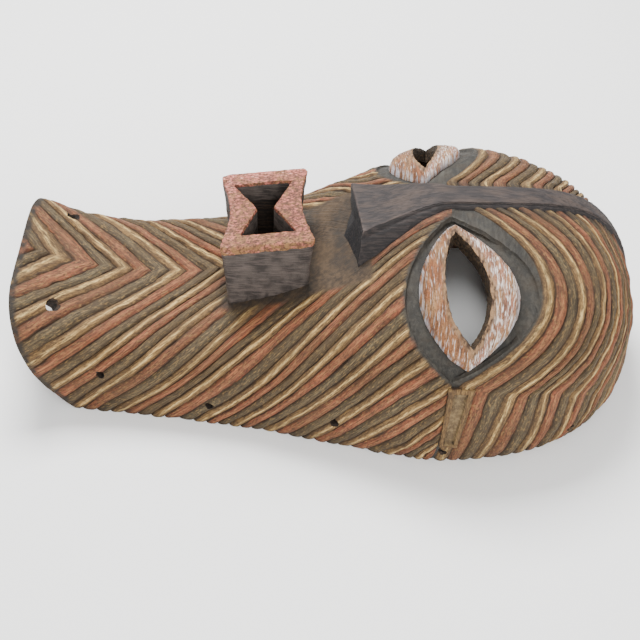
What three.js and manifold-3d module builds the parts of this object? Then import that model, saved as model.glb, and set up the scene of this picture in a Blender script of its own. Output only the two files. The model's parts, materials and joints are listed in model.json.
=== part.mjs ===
// A kifwebe mask carved from one block of wood, lying on its back rim. Millimetres, +Z up.
// The face looks up, the chin lies to -X, the crown to +X, and the rim's flat underside is Z = 0.
//
// Every place on the face has chart coordinates: its station, the distance along the midline,
// and its girth, the distance round the face from the midline. Past the brow line the chart is
// the flattened crown, with the same two coordinates measured from the top of the brow.

import * as THREE from "three";
import Module from "manifold-3d";

// Driving dimensions of the bare face, at stations from the chin to the widest place
const STATIONS = [-280, -230, -150, -60, 30, 110];
const HALF_WIDTHS = [109, 101, 108, 121, 143, 160];
const HEIGHTS = [112, 95, 85, 97, 138, 180];
const EQUATOR_HEIGHTS = [0, 0, 0, 6, 18, 33];
const CHIN_SQUARENESS = 4.4;
const BROW_SQUARENESS = 2.6;
const CROWN_REACH = 184;
const CROWN_SQUARENESS = 2.2;
const GIRTH_PER_DEGREE = 2.1;
const DEGREES_UNDER_EQUATOR = 18;
const RIM_TUCK = 0.049;
const CHIN_RAKE = 40;
const CHIN_FLAT_ANGLE = 0.4;
const WALL = 11;

// Carved stripes: rounded ridges with a groove on each side, three colours in turn
const STEP = 22;
const RIDGE = 1.3;
const GROOVE = 1.3;
const CHEEK_STRIPES = 43.5;
const BROW_STRIPES = 33;

// Guides of the cheek stripes: place of the start on the midline and eye line, the middle of the
// stripe in the chart, and the place of the end along the rim, each for the stripe at that count
const CHEEK_COUNTS = [
  0, 2.5, 3.5, 5.5, 8.5, 11.5, 14.5, 17.5, 20.5, 23.5, 26.5, 29.5, 32.5, 35.5, 38.5, 41.5, 43.5,
];
const CHEEK_STARTS = [
  0, 33, 62, 95, 145, 193, 240, 285, 400, 424, 448, 476, 506, 531, 557, 587, 618,
];
const CHEEK_MIDDLE_STATIONS = [
  -280, -264, -246, -227, -194, -164, -137, -94, -48, 4, 18, 31, 52, 66, 85, 97, 103,
];
const CHEEK_MIDDLE_GIRTHS = [
  0, 27, 34, 47, 66, 76, 85, 87, 82, 78, 97, 122, 141, 168, 190, 207, 226,
];
const CHEEK_ENDS = [
  0, 52, 65, 90, 126, 158, 188, 227, 265, 305, 337, 368, 405, 437, 478, 505, 517,
];

// Guides of the brow stripes, which bow round the eye and break at the temple
const BROW_COUNTS = [0, 3.5, 6.5, 9.5, 12.5, 15.5, 24, 33];
const BROW_STARTS = [112, 134, 160, 180, 196, 211, 268, 336.8];
const BROW_MIDDLE_STATIONS = [155, 180, 197, 213, 228, 243, 298, 336.8];
const BROW_MIDDLE_GIRTHS = [71, 72, 68, 63, 61, 58, 36, 0];
const BROW_BREAK_STATIONS = [116, 150, 174, 201, 227, 257, 311, 336.8];
const BROW_BREAK_GIRTHS = [137, 142, 137, 135, 128, 116, 60, 0];
const BROW_ENDS = [519, 564, 613, 651, 680, 712, 796, 880.4];

// Eyes: almond outlines in the chart, as the middle's station and girth, half length, reach to the
// chin, reach to the crown and lean towards the crown
const EYE_STATION = 112;
const EYE_SOCKET = [EYE_STATION, 77, 59, 41, 42, 0];
const EYE_LIDS = [117, 76, 53, 34, 28, 0.07];
const EYE_SLIT = [117, 74, 38, 12.5, 11.5, 0.115];
const EYE_SIDES = 24;
const EYE_LINE_DROOP = 9;
const SOCKET_DEPTH = 4;
const CHANNEL_DEPTH = 7;
const NEAR_LID_BULGE = 5;
const FAR_LID_BULGE = 1;

// The far eye and the stripes round it sit nearer to the chin than the near ones
const FAR_DRIFT = 20;
const FAR_DRIFT_STATIONS = [0, 70, 130, 290];
const FAR_DRIFT_GIRTHS = [0, 20, 120, 185];

// The crown's middle line turns to the far side: distance from the brow's top, and turn in radians
const SWAY_DISTANCES = [0, 40, 80, 120, 160, 210];
const SWAY_TURNS = [0, 0.1, 0.2, 0.22, 0.19, 0.13];

// Nose and crest: one ridge down the middle, wide at the tip of the nose
const CREST_STATIONS = [30, 45, 60, 75, 90, 112, 150, 190, 230, 270, 300, 320];
const CREST_FOOT_GIRTHS = [42, 37, 32, 27, 22, 13, 12.5, 12, 11.5, 10.5, 9, 7];
const CREST_TOP_HALF_WIDTHS = [35, 30, 25.5, 21, 17, 12, 11.5, 11, 10.5, 9.5, 8, 6];
const CREST_RISES = [30, 23.5, 17.5, 12, 8, 5.5, 5, 5, 4.5, 4, 3, 1];
const CREST_CAMBER = 0.6;
const NOSE_FRONT_LEAN = 13;
const NOSE_SKEW = 5;

// Mouth: a bow-tie tube that stands out from the chin
const MOUTH_LEFT = -94;
const MOUTH_RIGHT = -9.5;
const MOUTH_HALF_WIDTH = 53.5;
const MOUTH_WAIST = 10;
const MOUTH_ROUNDING = 1.7;
const MOUTH_SKEWS = [2.4, 4.6];
const MOUTH_TOP = 164.5;
const MOUTH_TOP_SLOPE = 0.14;
const MOUTH_FLARE = 5;
const MOUTH_EDGE = 2;
const HOLE_LEFT = -78;
const HOLE_RIGHT = -26.5;
const HOLE_HALF_WIDTH = 36;
const HOLE_WAIST = 18.5;
const HOLE_SKEWS = [5, 2.8];

// Plain ground between the mouth and the nose, in the chart
const PLAIN_LEFT = -104;
const PLAIN_RIGHT = 40;
const PLAIN_HALF_GIRTH = 52;
const PLAIN_FADE = 12;

// Ears: small frames with a sunk panel, below the outer corner of each eye
const EAR_TOP = [118, 139];
const EAR_BOTTOM = [114.5, 195];
const EAR_HALF_WIDTH = 8;
const EAR_FRAME = 4;
const EAR_RISE = 2.6;
const EAR_PANEL_DEPTH = 1;

// Cord holes near the edge: station, girth and radius
const CORD_HOLES = [
  [-243, 68, 5.5],
  [-199, 131, 3.5],
  [-100, 161, 3.5],
  [14, 172, 3.5],
  [111, 206, 3.5],
  [230, 165, 3.5],
];

const wasm = await Module();
wasm.setup();

const BROW_STATION = STATIONS[STATIONS.length - 1];
const RIGHT_ANGLE_GIRTH = 90 * GIRTH_PER_DEGREE;
const CROWN_GIRTH = (90 + DEGREES_UNDER_EQUATOR) * GIRTH_PER_DEGREE;
const MIDLINE_TO_EYE = EYE_STATION - STATIONS[0];
const CHIN_CORNER_STATION = chinEdge(RIGHT_ANGLE_GIRTH);
const [NEAR, FAR] = [-1, 1];

// Value of a smooth curve through knots, straight before the first and level after the last
function curveThrough(knots, values, at) {
  const last = knots.length - 1;
  const slope = (i) => (values[i + 1] - values[i]) / (knots[i + 1] - knots[i]);
  const tangent = (i) => {
    if (i === 0) return slope(0);
    if (i === last) return 0;
    const before = knots[i] - knots[i - 1];
    const after = knots[i + 1] - knots[i];
    return (slope(i) * before + slope(i - 1) * after) / (before + after);
  };
  const place = Math.min(Math.max(at, knots[0]), knots[last]);
  let i = 0;
  while (i < last - 1 && place > knots[i + 1]) i += 1;
  const span = knots[i + 1] - knots[i];
  const t = (place - knots[i]) / span;
  return (
    (2 * t ** 3 - 3 * t ** 2 + 1) * values[i] +
    (t ** 3 - 2 * t ** 2 + t) * span * tangent(i) +
    (3 * t ** 2 - 2 * t ** 3) * values[i + 1] +
    (t ** 3 - t ** 2) * span * tangent(i + 1)
  );
}

// Value on straight lines between knots
function linesThrough(knots, values, at) {
  const last = knots.length - 1;
  let i = 0;
  while (i < last - 1 && at > knots[i + 1]) i += 1;
  const t = Math.min(Math.max((at - knots[i]) / (knots[i + 1] - knots[i]), 0), 1);
  return values[i] + t * (values[i + 1] - values[i]);
}

const equatorHeight = (station) => Math.max(curveThrough(STATIONS, EQUATOR_HEIGHTS, station), 0);
const topHeight = (station) => curveThrough(STATIONS, HEIGHTS, station);

// Girth of the rim at a station short of the brow line
function rimGirth(station) {
  const share = equatorHeight(station) / equatorHeight(BROW_STATION);
  return RIGHT_ANGLE_GIRTH + share * (CROWN_GIRTH - RIGHT_ANGLE_GIRTH);
}

// Cross-section of the face: share of the half width and height above the rim's plane
function section(degrees, station, squareness) {
  const equator = equatorHeight(station);
  if (degrees > 90) {
    const share = equator / equatorHeight(BROW_STATION);
    const under = share > 0 ? Math.min((degrees - 90) / (DEGREES_UNDER_EQUATOR * share), 1) : 1;
    return { reach: 1 - RIM_TUCK * share * under ** 2, height: equator * (1 - under) };
  }
  const angle = THREE.MathUtils.degToRad(degrees);
  const sine = Math.abs(Math.sin(angle));
  const cosine = Math.abs(Math.cos(angle));
  const radius = (sine ** squareness + cosine ** squareness) ** (-1 / squareness);
  return {
    reach: radius * sine,
    height: equator + (topHeight(station) - equator) * radius * cosine,
  };
}

// Place of a chart point on the bare face
function face(station, girth, side) {
  if (station <= BROW_STATION) {
    const share = (station - STATIONS[0]) / (BROW_STATION - STATIONS[0]);
    const squareness = CHIN_SQUARENESS + share * (BROW_SQUARENESS - CHIN_SQUARENESS);
    const { reach, height } = section(girth / GIRTH_PER_DEGREE, station, squareness);
    const halfWidth = curveThrough(STATIONS, HALF_WIDTHS, station);
    return new THREE.Vector3(station, side * halfWidth * reach, height);
  }
  const forward = station - BROW_STATION;
  const distance = Math.hypot(forward, girth);
  const turn = Math.atan2(girth, forward);
  const sway = curveThrough(SWAY_DISTANCES, SWAY_TURNS, distance) * (1 - turn / (Math.PI / 2));
  const swayed = side * turn + sway;
  const { reach, height } = section(distance / GIRTH_PER_DEGREE, BROW_STATION, BROW_SQUARENESS);
  const [cosine, sine] = [Math.cos(swayed), Math.sin(swayed)];
  const power = CROWN_SQUARENESS;
  const plan = reach * (Math.abs(cosine) ** power + Math.abs(sine) ** power) ** (-1 / power);
  const x = BROW_STATION + CROWN_REACH * plan * cosine;
  const y = HALF_WIDTHS[HALF_WIDTHS.length - 1] * plan * sine;
  return new THREE.Vector3(x, y, height);
}

// Rises smoothly from 0 to 1 between the first two knots and falls back between the last two
function hump([rise, top, edge, end], at) {
  const smooth = THREE.MathUtils.smoothstep;
  return smooth(at, rise, top) * (1 - smooth(at, edge, end));
}

// Station at which a chart point is carved
function drifted(station, girth, side) {
  if (side === NEAR) return station;
  return station - FAR_DRIFT * hump(FAR_DRIFT_STATIONS, station) * hump(FAR_DRIFT_GIRTHS, girth);
}

// Outward direction at a chart point, square to the stations short of the brow line
function outward(station, girth, side) {
  const step = 0.5;
  const along = face(station + step, girth, side).sub(face(station - step, girth, side));
  const back = girth < step ? face(station, step - girth, -side) : face(station, girth - step, side);
  const round = face(station, girth + step, side).sub(back);
  const normal = round.cross(along).multiplyScalar(-side);
  if (station <= BROW_STATION) normal.x = 0;
  return normal.normalize();
}

// Point lifted off the bare face by a height, and never below the rim's plane
function lifted(station, girth, side, height) {
  const point = face(station, girth, side).addScaledVector(outward(station, girth, side), height);
  return point.setZ(Math.max(point.z, 0));
}

// Chart place at a distance along the rim: up the chin's end edge, along the side, round the crown
function rimPlace(distance) {
  if (distance <= RIGHT_ANGLE_GIRTH) return [chinEdge(distance), distance];
  const station = CHIN_CORNER_STATION + distance - RIGHT_ANGLE_GIRTH;
  if (station <= BROW_STATION) return [station, rimGirth(station)];
  const turn = Math.PI / 2 - (station - BROW_STATION) / CROWN_GIRTH;
  return [BROW_STATION + CROWN_GIRTH * Math.cos(turn), CROWN_GIRTH * Math.sin(turn)];
}

// Station of the chin's end edge, which is raked back towards the rim
function chinEdge(girth) {
  const angle = THREE.MathUtils.degToRad(girth / GIRTH_PER_DEGREE);
  return STATIONS[0] + CHIN_RAKE * Math.max(angle - CHIN_FLAT_ANGLE, 0) ** 2;
}

// Start of a cheek stripe: on the midline, then out along the eye line to the rim
function cheekStart(distance) {
  if (distance <= MIDLINE_TO_EYE) return [STATIONS[0] + distance, 0];
  const girth = distance - MIDLINE_TO_EYE;
  const outerCorner = EYE_SOCKET[1] + EYE_SOCKET[2];
  const droop = linesThrough([outerCorner, CROWN_GIRTH], [0, EYE_LINE_DROOP], girth);
  return [EYE_STATION - droop, girth];
}

// Chart points of a curve that leaves the first place, passes the second and reaches the third
function bow(first, middle, last, count) {
  const points = [];
  for (let i = 0; i <= count; i += 1) {
    const t = i / count;
    const weights = [(1 - t) * (1 - 2 * t), 4 * t * (1 - t), t * (2 * t - 1)];
    points.push([0, 1].map((k) => weights[0] * first[k] + weights[1] * middle[k] + weights[2] * last[k]));
  }
  return points;
}

const stepsBetween = (...places) => {
  let length = 0;
  for (let i = 1; i < places.length; i += 1) {
    length += Math.hypot(places[i][0] - places[i - 1][0], places[i][1] - places[i - 1][1]);
  }
  return Math.max(1, Math.round(length / STEP));
};

// Chart points of one cheek stripe line, from its start to the rim
function cheekLine(count) {
  const start = cheekStart(linesThrough(CHEEK_COUNTS, CHEEK_STARTS, count));
  const middle = [
    curveThrough(CHEEK_COUNTS, CHEEK_MIDDLE_STATIONS, count),
    curveThrough(CHEEK_COUNTS, CHEEK_MIDDLE_GIRTHS, count),
  ];
  const end = rimPlace(linesThrough(CHEEK_COUNTS, CHEEK_ENDS, count));
  return bow(start, middle, end, stepsBetween(start, middle, end));
}

// Chart points of one brow stripe line, from the crest round the eye to the temple and the rim
function browLine(count) {
  const at = (values) => curveThrough(BROW_COUNTS, values, count);
  const start = [linesThrough(BROW_COUNTS, BROW_STARTS, count), 0];
  const middle = [at(BROW_MIDDLE_STATIONS), at(BROW_MIDDLE_GIRTHS)];
  const temple = [at(BROW_BREAK_STATIONS), at(BROW_BREAK_GIRTHS)];
  const end = rimPlace(linesThrough(BROW_COUNTS, BROW_ENDS, count));
  const lower = stepsBetween(temple, end);
  const points = bow(start, middle, temple, stepsBetween(start, middle, temple));
  for (let i = 1; i <= lower; i += 1) {
    const t = i / lower;
    points.push([0, 1].map((k) => temple[k] + t * (end[k] - temple[k])));
  }
  return points;
}

// Share of the relief that is carved at a chart point: none on the plain ground
function reliefShare(station, girth) {
  const outside = Math.max(PLAIN_LEFT - station, station - PLAIN_RIGHT, girth - PLAIN_HALF_GIRTH, 0);
  return Math.min(outside / PLAIN_FADE, 1);
}

// Collects vertices and faces of one closed skin
class Skin {
  points = [];
  faces = [];

  add(point) {
    this.points.push(point);
    return this.points.length - 1;
  }

  face(a, b, c, turned) {
    if (a === b || b === c || c === a) return;
    this.faces.push(turned ? [a, c, b] : [a, b, c]);
  }

  // Band of faces between two rows of vertices, taking the shorter diagonal each time
  band(rowA, rowB, turned) {
    let [i, j] = [0, 0];
    while (i < rowA.length - 1 || j < rowB.length - 1) {
      const canA = i < rowA.length - 1;
      const canB = j < rowB.length - 1;
      const gapA = canA ? this.points[rowA[i + 1]].distanceTo(this.points[rowB[j]]) : Infinity;
      const gapB = canB ? this.points[rowA[i]].distanceTo(this.points[rowB[j + 1]]) : Infinity;
      if (gapA < gapB) {
        this.face(rowA[i], rowA[i + 1], rowB[j], turned);
        i += 1;
      } else {
        this.face(rowA[i], rowB[j + 1], rowB[j], turned);
        j += 1;
      }
    }
  }

  solid() {
    const mesh = new wasm.Mesh({
      numProp: 3,
      vertProperties: new Float32Array(this.points.flatMap((point) => point.toArray())),
      triVerts: new Uint32Array(this.faces.flat()),
    });
    return new wasm.Manifold(mesh);
  }
}

// Solid through a stack of closed loops of points, with a fan at each end
function loft(loops) {
  const skin = new Skin();
  const rows = loops.map((loop) => loop.map((point) => skin.add(point)));
  const centre = (loop) => {
    const sum = loop.reduce((total, point) => total.add(point), new THREE.Vector3());
    return sum.divideScalar(loop.length);
  };
  const first = skin.add(centre(loops[0]));
  const last = skin.add(centre(loops[loops.length - 1]));
  const volume = () =>
    skin.faces.reduce((sum, [a, b, c]) => {
      const [p, q, r] = [skin.points[a], skin.points[b], skin.points[c]];
      return sum + p.dot(new THREE.Vector3().crossVectors(q, r));
    }, 0);
  const count = loops[0].length;
  for (let k = 0; k < count; k += 1) {
    const next = (k + 1) % count;
    skin.face(first, rows[0][next], rows[0][k], false);
    skin.face(last, rows[rows.length - 1][k], rows[rows.length - 1][next], false);
    for (let i = 0; i < rows.length - 1; i += 1) {
      skin.face(rows[i][k], rows[i][next], rows[i + 1][next], false);
      skin.face(rows[i][k], rows[i + 1][next], rows[i + 1][k], false);
    }
  }
  if (volume() < 0) skin.faces = skin.faces.map(([a, b, c]) => [a, c, b]);
  return skin.solid();
}

// Hollow shell of the face with its carved stripes
function stripedShell() {
  const skin = new Skin();
  const onRim = (point) => point.setZ(0);
  const height = (count, station, girth) => {
    const relief = Number.isInteger(count) ? -GROOVE : RIDGE;
    return relief * reliefShare(station, girth);
  };

  // Outer vertices of a stripe line, with its first and last vertices given where they are shared
  const outerRow = (line, count, side, start) =>
    line.map(([station, girth], i) => {
      if (i === 0 && start !== undefined) return start;
      const carvedAt = drifted(station, girth, side);
      const point = lifted(carvedAt, girth, side, height(count, station, girth));
      const restsOnRim = i === line.length - 1 && station >= CHIN_CORNER_STATION;
      return skin.add(restsOnRim ? onRim(point) : point);
    });
  const midpoint = (station, count) => skin.add(lifted(station, 0, NEAR, height(count, station, 0)));

  const cheekCounts = [];
  for (let count = 0.5; count < CHEEK_STRIPES; count += 0.5) cheekCounts.push(count);
  const browCounts = [];
  for (let count = 0; count < BROW_STRIPES; count += 0.5) browCounts.push(count);

  const chinTip = skin.add(lifted(...rimPlace(0), NEAR, 0));
  const crownTip = skin.add(onRim(lifted(BROW_STATION + CROWN_GIRTH, 0, NEAR, 0)));
  const eyeRoot = skin.add(lifted(EYE_STATION, 0, NEAR, 0));
  const cheekStarts = new Map();
  const browStarts = new Map();
  for (const count of cheekCounts) {
    const [station, girth] = cheekLine(count)[0];
    if (girth === 0) cheekStarts.set(count, midpoint(station, count));
  }
  for (const count of browCounts) {
    browStarts.set(count, count === 0 ? eyeRoot : midpoint(browLine(count)[0][0], count));
  }

  const innerTip = skin.add(lifted(...rimPlace(0), NEAR, -WALL));
  const innerCrownTip = skin.add(onRim(lifted(BROW_STATION + CROWN_GIRTH, 0, NEAR, -WALL)));
  const innerPole = skin.add(lifted(BROW_STATION, 0, NEAR, -WALL));
  const innerMidline = [];

  for (const side of [NEAR, FAR]) {
    const turned = side === FAR;

    // Cheeks, from the chin to the eye line
    let before = [chinTip];
    const rim = [chinTip];
    const eyeLine = [eyeRoot];
    for (const count of cheekCounts) {
      const start = cheekStarts.get(count);
      const row = outerRow(cheekLine(count), count, side, start);
      const reachesEyeLine = start === undefined && eyeLine.length === 1;
      skin.band(before, reachesEyeLine ? [eyeRoot, ...row] : row, turned);
      if (start === undefined) eyeLine.push(row[0]);
      rim.push(row[row.length - 1]);
      before = row;
    }
    const [station, girth] = rimPlace(CHEEK_ENDS[CHEEK_ENDS.length - 1]);
    const templeEnd = skin.add(onRim(lifted(station, girth, side, 0)));
    skin.band(before, [templeEnd], turned);
    rim.push(templeEnd);
    eyeLine.push(templeEnd);

    // Brow, from the eye line to the crown
    before = eyeLine;
    for (const count of browCounts) {
      const row = outerRow(browLine(count), count, side, browStarts.get(count));
      skin.band(before, row, turned);
      rim.push(row[row.length - 1]);
      before = row;
    }
    skin.band(before, [crownTip], turned);
    rim.push(crownTip);

    // Smooth inner wall, in columns from the midline to the rim
    const [bodyColumns, crownColumns, innerSteps] = [11, 8, 8];
    const innerRim = [];
    before = undefined;
    for (let column = 0; column <= bodyColumns + crownColumns; column += 1) {
      const row = [];
      for (let i = 0; i <= innerSteps; i += 1) {
        const share = i / innerSteps;
        let place;
        if (column <= bodyColumns) {
          const edge = chinEdge(share * RIGHT_ANGLE_GIRTH);
          const at = edge + ((BROW_STATION - edge) * column) / bodyColumns;
          place = [at, share * rimGirth(at)];
        } else {
          const turn = (Math.PI / 2) * (1 - (column - bodyColumns) / crownColumns);
          const out = share * CROWN_GIRTH;
          place = [BROW_STATION + out * Math.cos(turn), out * Math.sin(turn)];
        }
        const point = lifted(...place, side, -WALL);
        if (i === innerSteps) onRim(point);
        const isLastColumn = column === bodyColumns + crownColumns;
        if (i === 0 && column >= bodyColumns) row.push(innerPole);
        else if (i === 0 && column === 0) row.push(innerTip);
        else if (i === 0) {
          innerMidline[column] ??= skin.add(point);
          row.push(innerMidline[column]);
        } else if (isLastColumn && i === innerSteps) row.push(innerCrownTip);
        else if (isLastColumn) {
          innerMidline[column + i] ??= skin.add(point);
          row.push(innerMidline[column + i]);
        } else row.push(skin.add(point));
      }
      if (before === undefined) innerRim.push(...row);
      else {
        skin.band(before, row, !turned);
        innerRim.push(row[row.length - 1]);
      }
      before = row;
    }
    skin.band(rim, innerRim, !turned);
  }
  return skin.solid();
}

// Almond outline in the chart, scaled about its middle
function almond([station, girth, halfLength, chinward, crownward, lean], share) {
  const points = [];
  for (let k = 0; k < EYE_SIDES; k += 1) {
    const angle = (2 * Math.PI * k) / EYE_SIDES;
    const reach = Math.sin(angle) > 0 ? crownward : -chinward;
    const along = share * halfLength * Math.cos(angle);
    points.push([station + lean * along + share * reach * Math.sin(angle) ** 2, girth + along]);
  }
  return points;
}

function liftLoop(loop, side, height) {
  return loop.map(([station, girth]) => lifted(drifted(station, girth, side), girth, side, height));
}

// Sunk socket round the eye, deepest in a channel beside the lids
function eyeSocket(side) {
  const top = 14;
  const floor = CHANNEL_DEPTH + 0.5;
  return loft([
    liftLoop(almond(EYE_SOCKET, 1.01), side, top),
    liftLoop(almond(EYE_SOCKET, 1), side, -SOCKET_DEPTH),
    liftLoop(almond(EYE_LIDS, 1.02), side, -CHANNEL_DEPTH),
    liftLoop(almond(EYE_LIDS, 0.7), side, -floor),
    liftLoop(almond(EYE_LIDS, 0.35), side, -floor),
  ]);
}

// Bulging lids, whole until the slit is cut
function eyeLids(side) {
  const root = WALL - 1;
  const bulge = side === NEAR ? NEAR_LID_BULGE : FAR_LID_BULGE;
  return loft([
    liftLoop(almond(EYE_LIDS, 0.35), side, -root),
    liftLoop(almond(EYE_LIDS, 0.7), side, -root),
    liftLoop(almond(EYE_LIDS, 1), side, -root),
    liftLoop(almond(EYE_LIDS, 1), side, -CHANNEL_DEPTH + 0.5),
    liftLoop(almond(EYE_LIDS, 0.93), side, -1.5),
    liftLoop(almond(EYE_LIDS, 0.8), side, 0.8 * bulge),
    liftLoop(almond(EYE_LIDS, 0.62), side, bulge),
    liftLoop(almond(EYE_LIDS, 0.35), side, 0.7 * bulge),
  ]);
}

// Slit that opens the eye into the hollow
function eyeSlit(side) {
  const above = 16;
  const below = -WALL - 13;
  return loft([liftLoop(almond(EYE_SLIT, 1), side, above), liftLoop(almond(EYE_SLIT, 0.97), side, below)]);
}

// Nose and crest, built of sections from the tip of the nose to the crown's rim
function noseAndCrest() {
  const buried = 6;
  const sections = CREST_STATIONS.map((station, i) => {
    const foot = CREST_FOOT_GIRTHS[i];
    const half = CREST_TOP_HALF_WIDTHS[i];
    const base = face(station, 0, NEAR);
    const up = outward(station, 0, NEAR);
    const across = face(station, half, FAR).sub(face(station, half, NEAR)).normalize();
    const isTip = i === 0;
    const lean = isTip ? NOSE_FRONT_LEAN : 0;
    const skew = isTip ? NOSE_SKEW : 0;
    const top = (side, rise) =>
      base.clone().addScaledVector(up, rise).addScaledVector(across, side);
    const nearTop = top(-half, CREST_RISES[i] - CREST_CAMBER);
    const farTop = top(half, CREST_RISES[i] - CREST_CAMBER);
    nearTop.x += skew;
    farTop.x -= skew;
    return [
      lifted(station - lean, 0, NEAR, -buried),
      lifted(station + (isTip ? 1 - skew : 0), foot, FAR, -buried),
      farTop,
      top(0, CREST_RISES[i]),
      nearTop,
      lifted(station + (isTip ? 1 : 0), foot, NEAR, -buried),
    ];
  });
  return loft(sections);
}

// Bow-tie loop in plan between two stations, with a waist on each long side. The waist is angular
// at a power of 1 and rounder above it, and the skews turn the chin side and the crown side.
function bowTie(left, right, halfWidth, waist, power, [leftSkew, rightSkew]) {
  const points = [];
  const steps = 6;
  for (let i = 0; i <= steps; i += 1) {
    const share = -1 + (2 * i) / steps;
    const x = right - waist * (1 - Math.abs(share) ** power) - rightSkew * share;
    points.push([x, share * halfWidth]);
  }
  for (let i = 0; i <= steps; i += 1) {
    const share = 1 - (2 * i) / steps;
    points.push([left + waist * (1 - Math.abs(share) ** power) - leftSkew * share, share * halfWidth]);
  }
  return points;
}

const mouthTop = (station) => MOUTH_TOP + MOUTH_TOP_SLOPE * (station - (MOUTH_LEFT + MOUTH_RIGHT) / 2);

// Mouth tube, solid until its hole is cut
function mouthBlock() {
  const buried = 8;
  const outline = (inset) => {
    const halfWidth = MOUTH_HALF_WIDTH - inset;
    const [left, right] = [MOUTH_LEFT + inset, MOUTH_RIGHT - inset];
    return bowTie(left, right, halfWidth, MOUTH_WAIST, MOUTH_ROUNDING, MOUTH_SKEWS);
  };
  return loft([
    outline(MOUTH_FLARE).map(([x, y]) => new THREE.Vector3(x, y, topHeight(x) - buried)),
    outline(0).map(([x, y]) => new THREE.Vector3(x, y, mouthTop(x) - MOUTH_EDGE)),
    outline(MOUTH_EDGE).map(([x, y]) => new THREE.Vector3(x, y, mouthTop(x))),
  ]);
}

// Angular bow-tie hole right through the mouth
function mouthHole() {
  const [bottom, top, taper] = [40, 200, 3];
  const outline = (inset) => {
    const [left, right] = [HOLE_LEFT + inset, HOLE_RIGHT - inset];
    return bowTie(left, right, HOLE_HALF_WIDTH - inset, HOLE_WAIST, 1, HOLE_SKEWS);
  };
  return loft([
    outline(taper).map(([x, y]) => new THREE.Vector3(x, y, bottom)),
    outline(0).map(([x, y]) => new THREE.Vector3(x, y, top)),
  ]);
}

// Slab over the ear's outline, between two heights off the face
function earSlab(side, inset, low, high) {
  const steps = 3;
  const length = EAR_BOTTOM[1] - EAR_TOP[1];
  const edge = (sign) => {
    const points = [];
    for (let i = 0; i <= steps; i += 1) {
      const down = inset + (i / steps) * (length - 2 * inset);
      const station = EAR_TOP[0] + (down / length) * (EAR_BOTTOM[0] - EAR_TOP[0]);
      points.push([station + sign * (EAR_HALF_WIDTH - inset), EAR_TOP[1] + down]);
    }
    return points;
  };
  const loop = [...edge(1), ...edge(-1).reverse()];
  return loft([liftLoop(loop, side, low), liftLoop(loop, side, high)]);
}

// Round hole for a cord, square to the face
function cordHole(side, [station, girth, radius]) {
  const sides = 7;
  const centre = face(station, girth, side);
  const up = outward(station, girth, side);
  const across = new THREE.Vector3(1, 0, 0).addScaledVector(up, -up.x).normalize();
  const round = new THREE.Vector3().crossVectors(up, across);
  const ring = (height) => {
    const points = [];
    for (let k = 0; k < sides; k += 1) {
      const angle = (2 * Math.PI * k) / sides;
      points.push(
        centre
          .clone()
          .addScaledVector(up, height)
          .addScaledVector(across, radius * Math.cos(angle))
          .addScaledVector(round, radius * Math.sin(angle)),
      );
    }
    return points;
  };
  const clearance = 8;
  return loft([ring(-WALL - clearance), ring(clearance)]);
}

// The whole carving: shell, eyes, nose, mouth, ears and cord holes
function carvedMask() {
  const earRoot = -5;
  const aboveEar = 9;
  let mask = stripedShell();
  for (const side of [NEAR, FAR]) mask = mask.subtract(eyeSocket(side)).add(eyeLids(side));
  mask = mask.add(noseAndCrest()).add(mouthBlock()).subtract(mouthHole());
  for (const side of [NEAR, FAR]) {
    mask = mask.subtract(eyeSlit(side)).add(earSlab(side, 0, earRoot, EAR_RISE));
    mask = mask.subtract(earSlab(side, EAR_FRAME, -EAR_PANEL_DEPTH, aboveEar));
    for (const hole of CORD_HOLES) mask = mask.subtract(cordHole(side, hole));
  }
  return mask;
}

// Flat-shaded geometry of a solid
function geometryOf(solid) {
  const { vertProperties, triVerts } = solid.getMesh();
  const geometry = new THREE.BufferGeometry();
  geometry.setAttribute("position", new THREE.BufferAttribute(vertProperties, 3));
  geometry.setIndex(new THREE.BufferAttribute(triVerts, 1));
  const faceted = geometry.toNonIndexed();
  faceted.computeVertexNormals();
  return faceted;
}

const paintedWood = new THREE.MeshStandardMaterial({ color: 0x8a6448, roughness: 0.85, metalness: 0 });
const mask = new THREE.Mesh(geometryOf(carvedMask()), paintedWood);
mask.name = "mask";

// The origin is under the middle of the mask's length
const bounds = new THREE.Box3().setFromObject(mask);
mask.position.x = -(bounds.min.x + bounds.max.x) / 2;

const part = new THREE.Group();
part.add(mask);

export default part;
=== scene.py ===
"""Looks of a kifwebe mask, carved from one block of wood and painted in three earth colours.

Lengths are millimetres until a mesh is made. A place on the face has chart coordinates: its
station, the distance along the midline from the chin to the crown, and its girth, the distance
round the face from the midline. Past the brow line the chart is the flattened crown, with the
same two coordinates measured from the top of the brow.
"""

from __future__ import annotations

import json
import logging
from dataclasses import dataclass, field
from enum import Enum

import bmesh
import bpy
import numpy as np
from mathutils import Matrix, Vector

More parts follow.
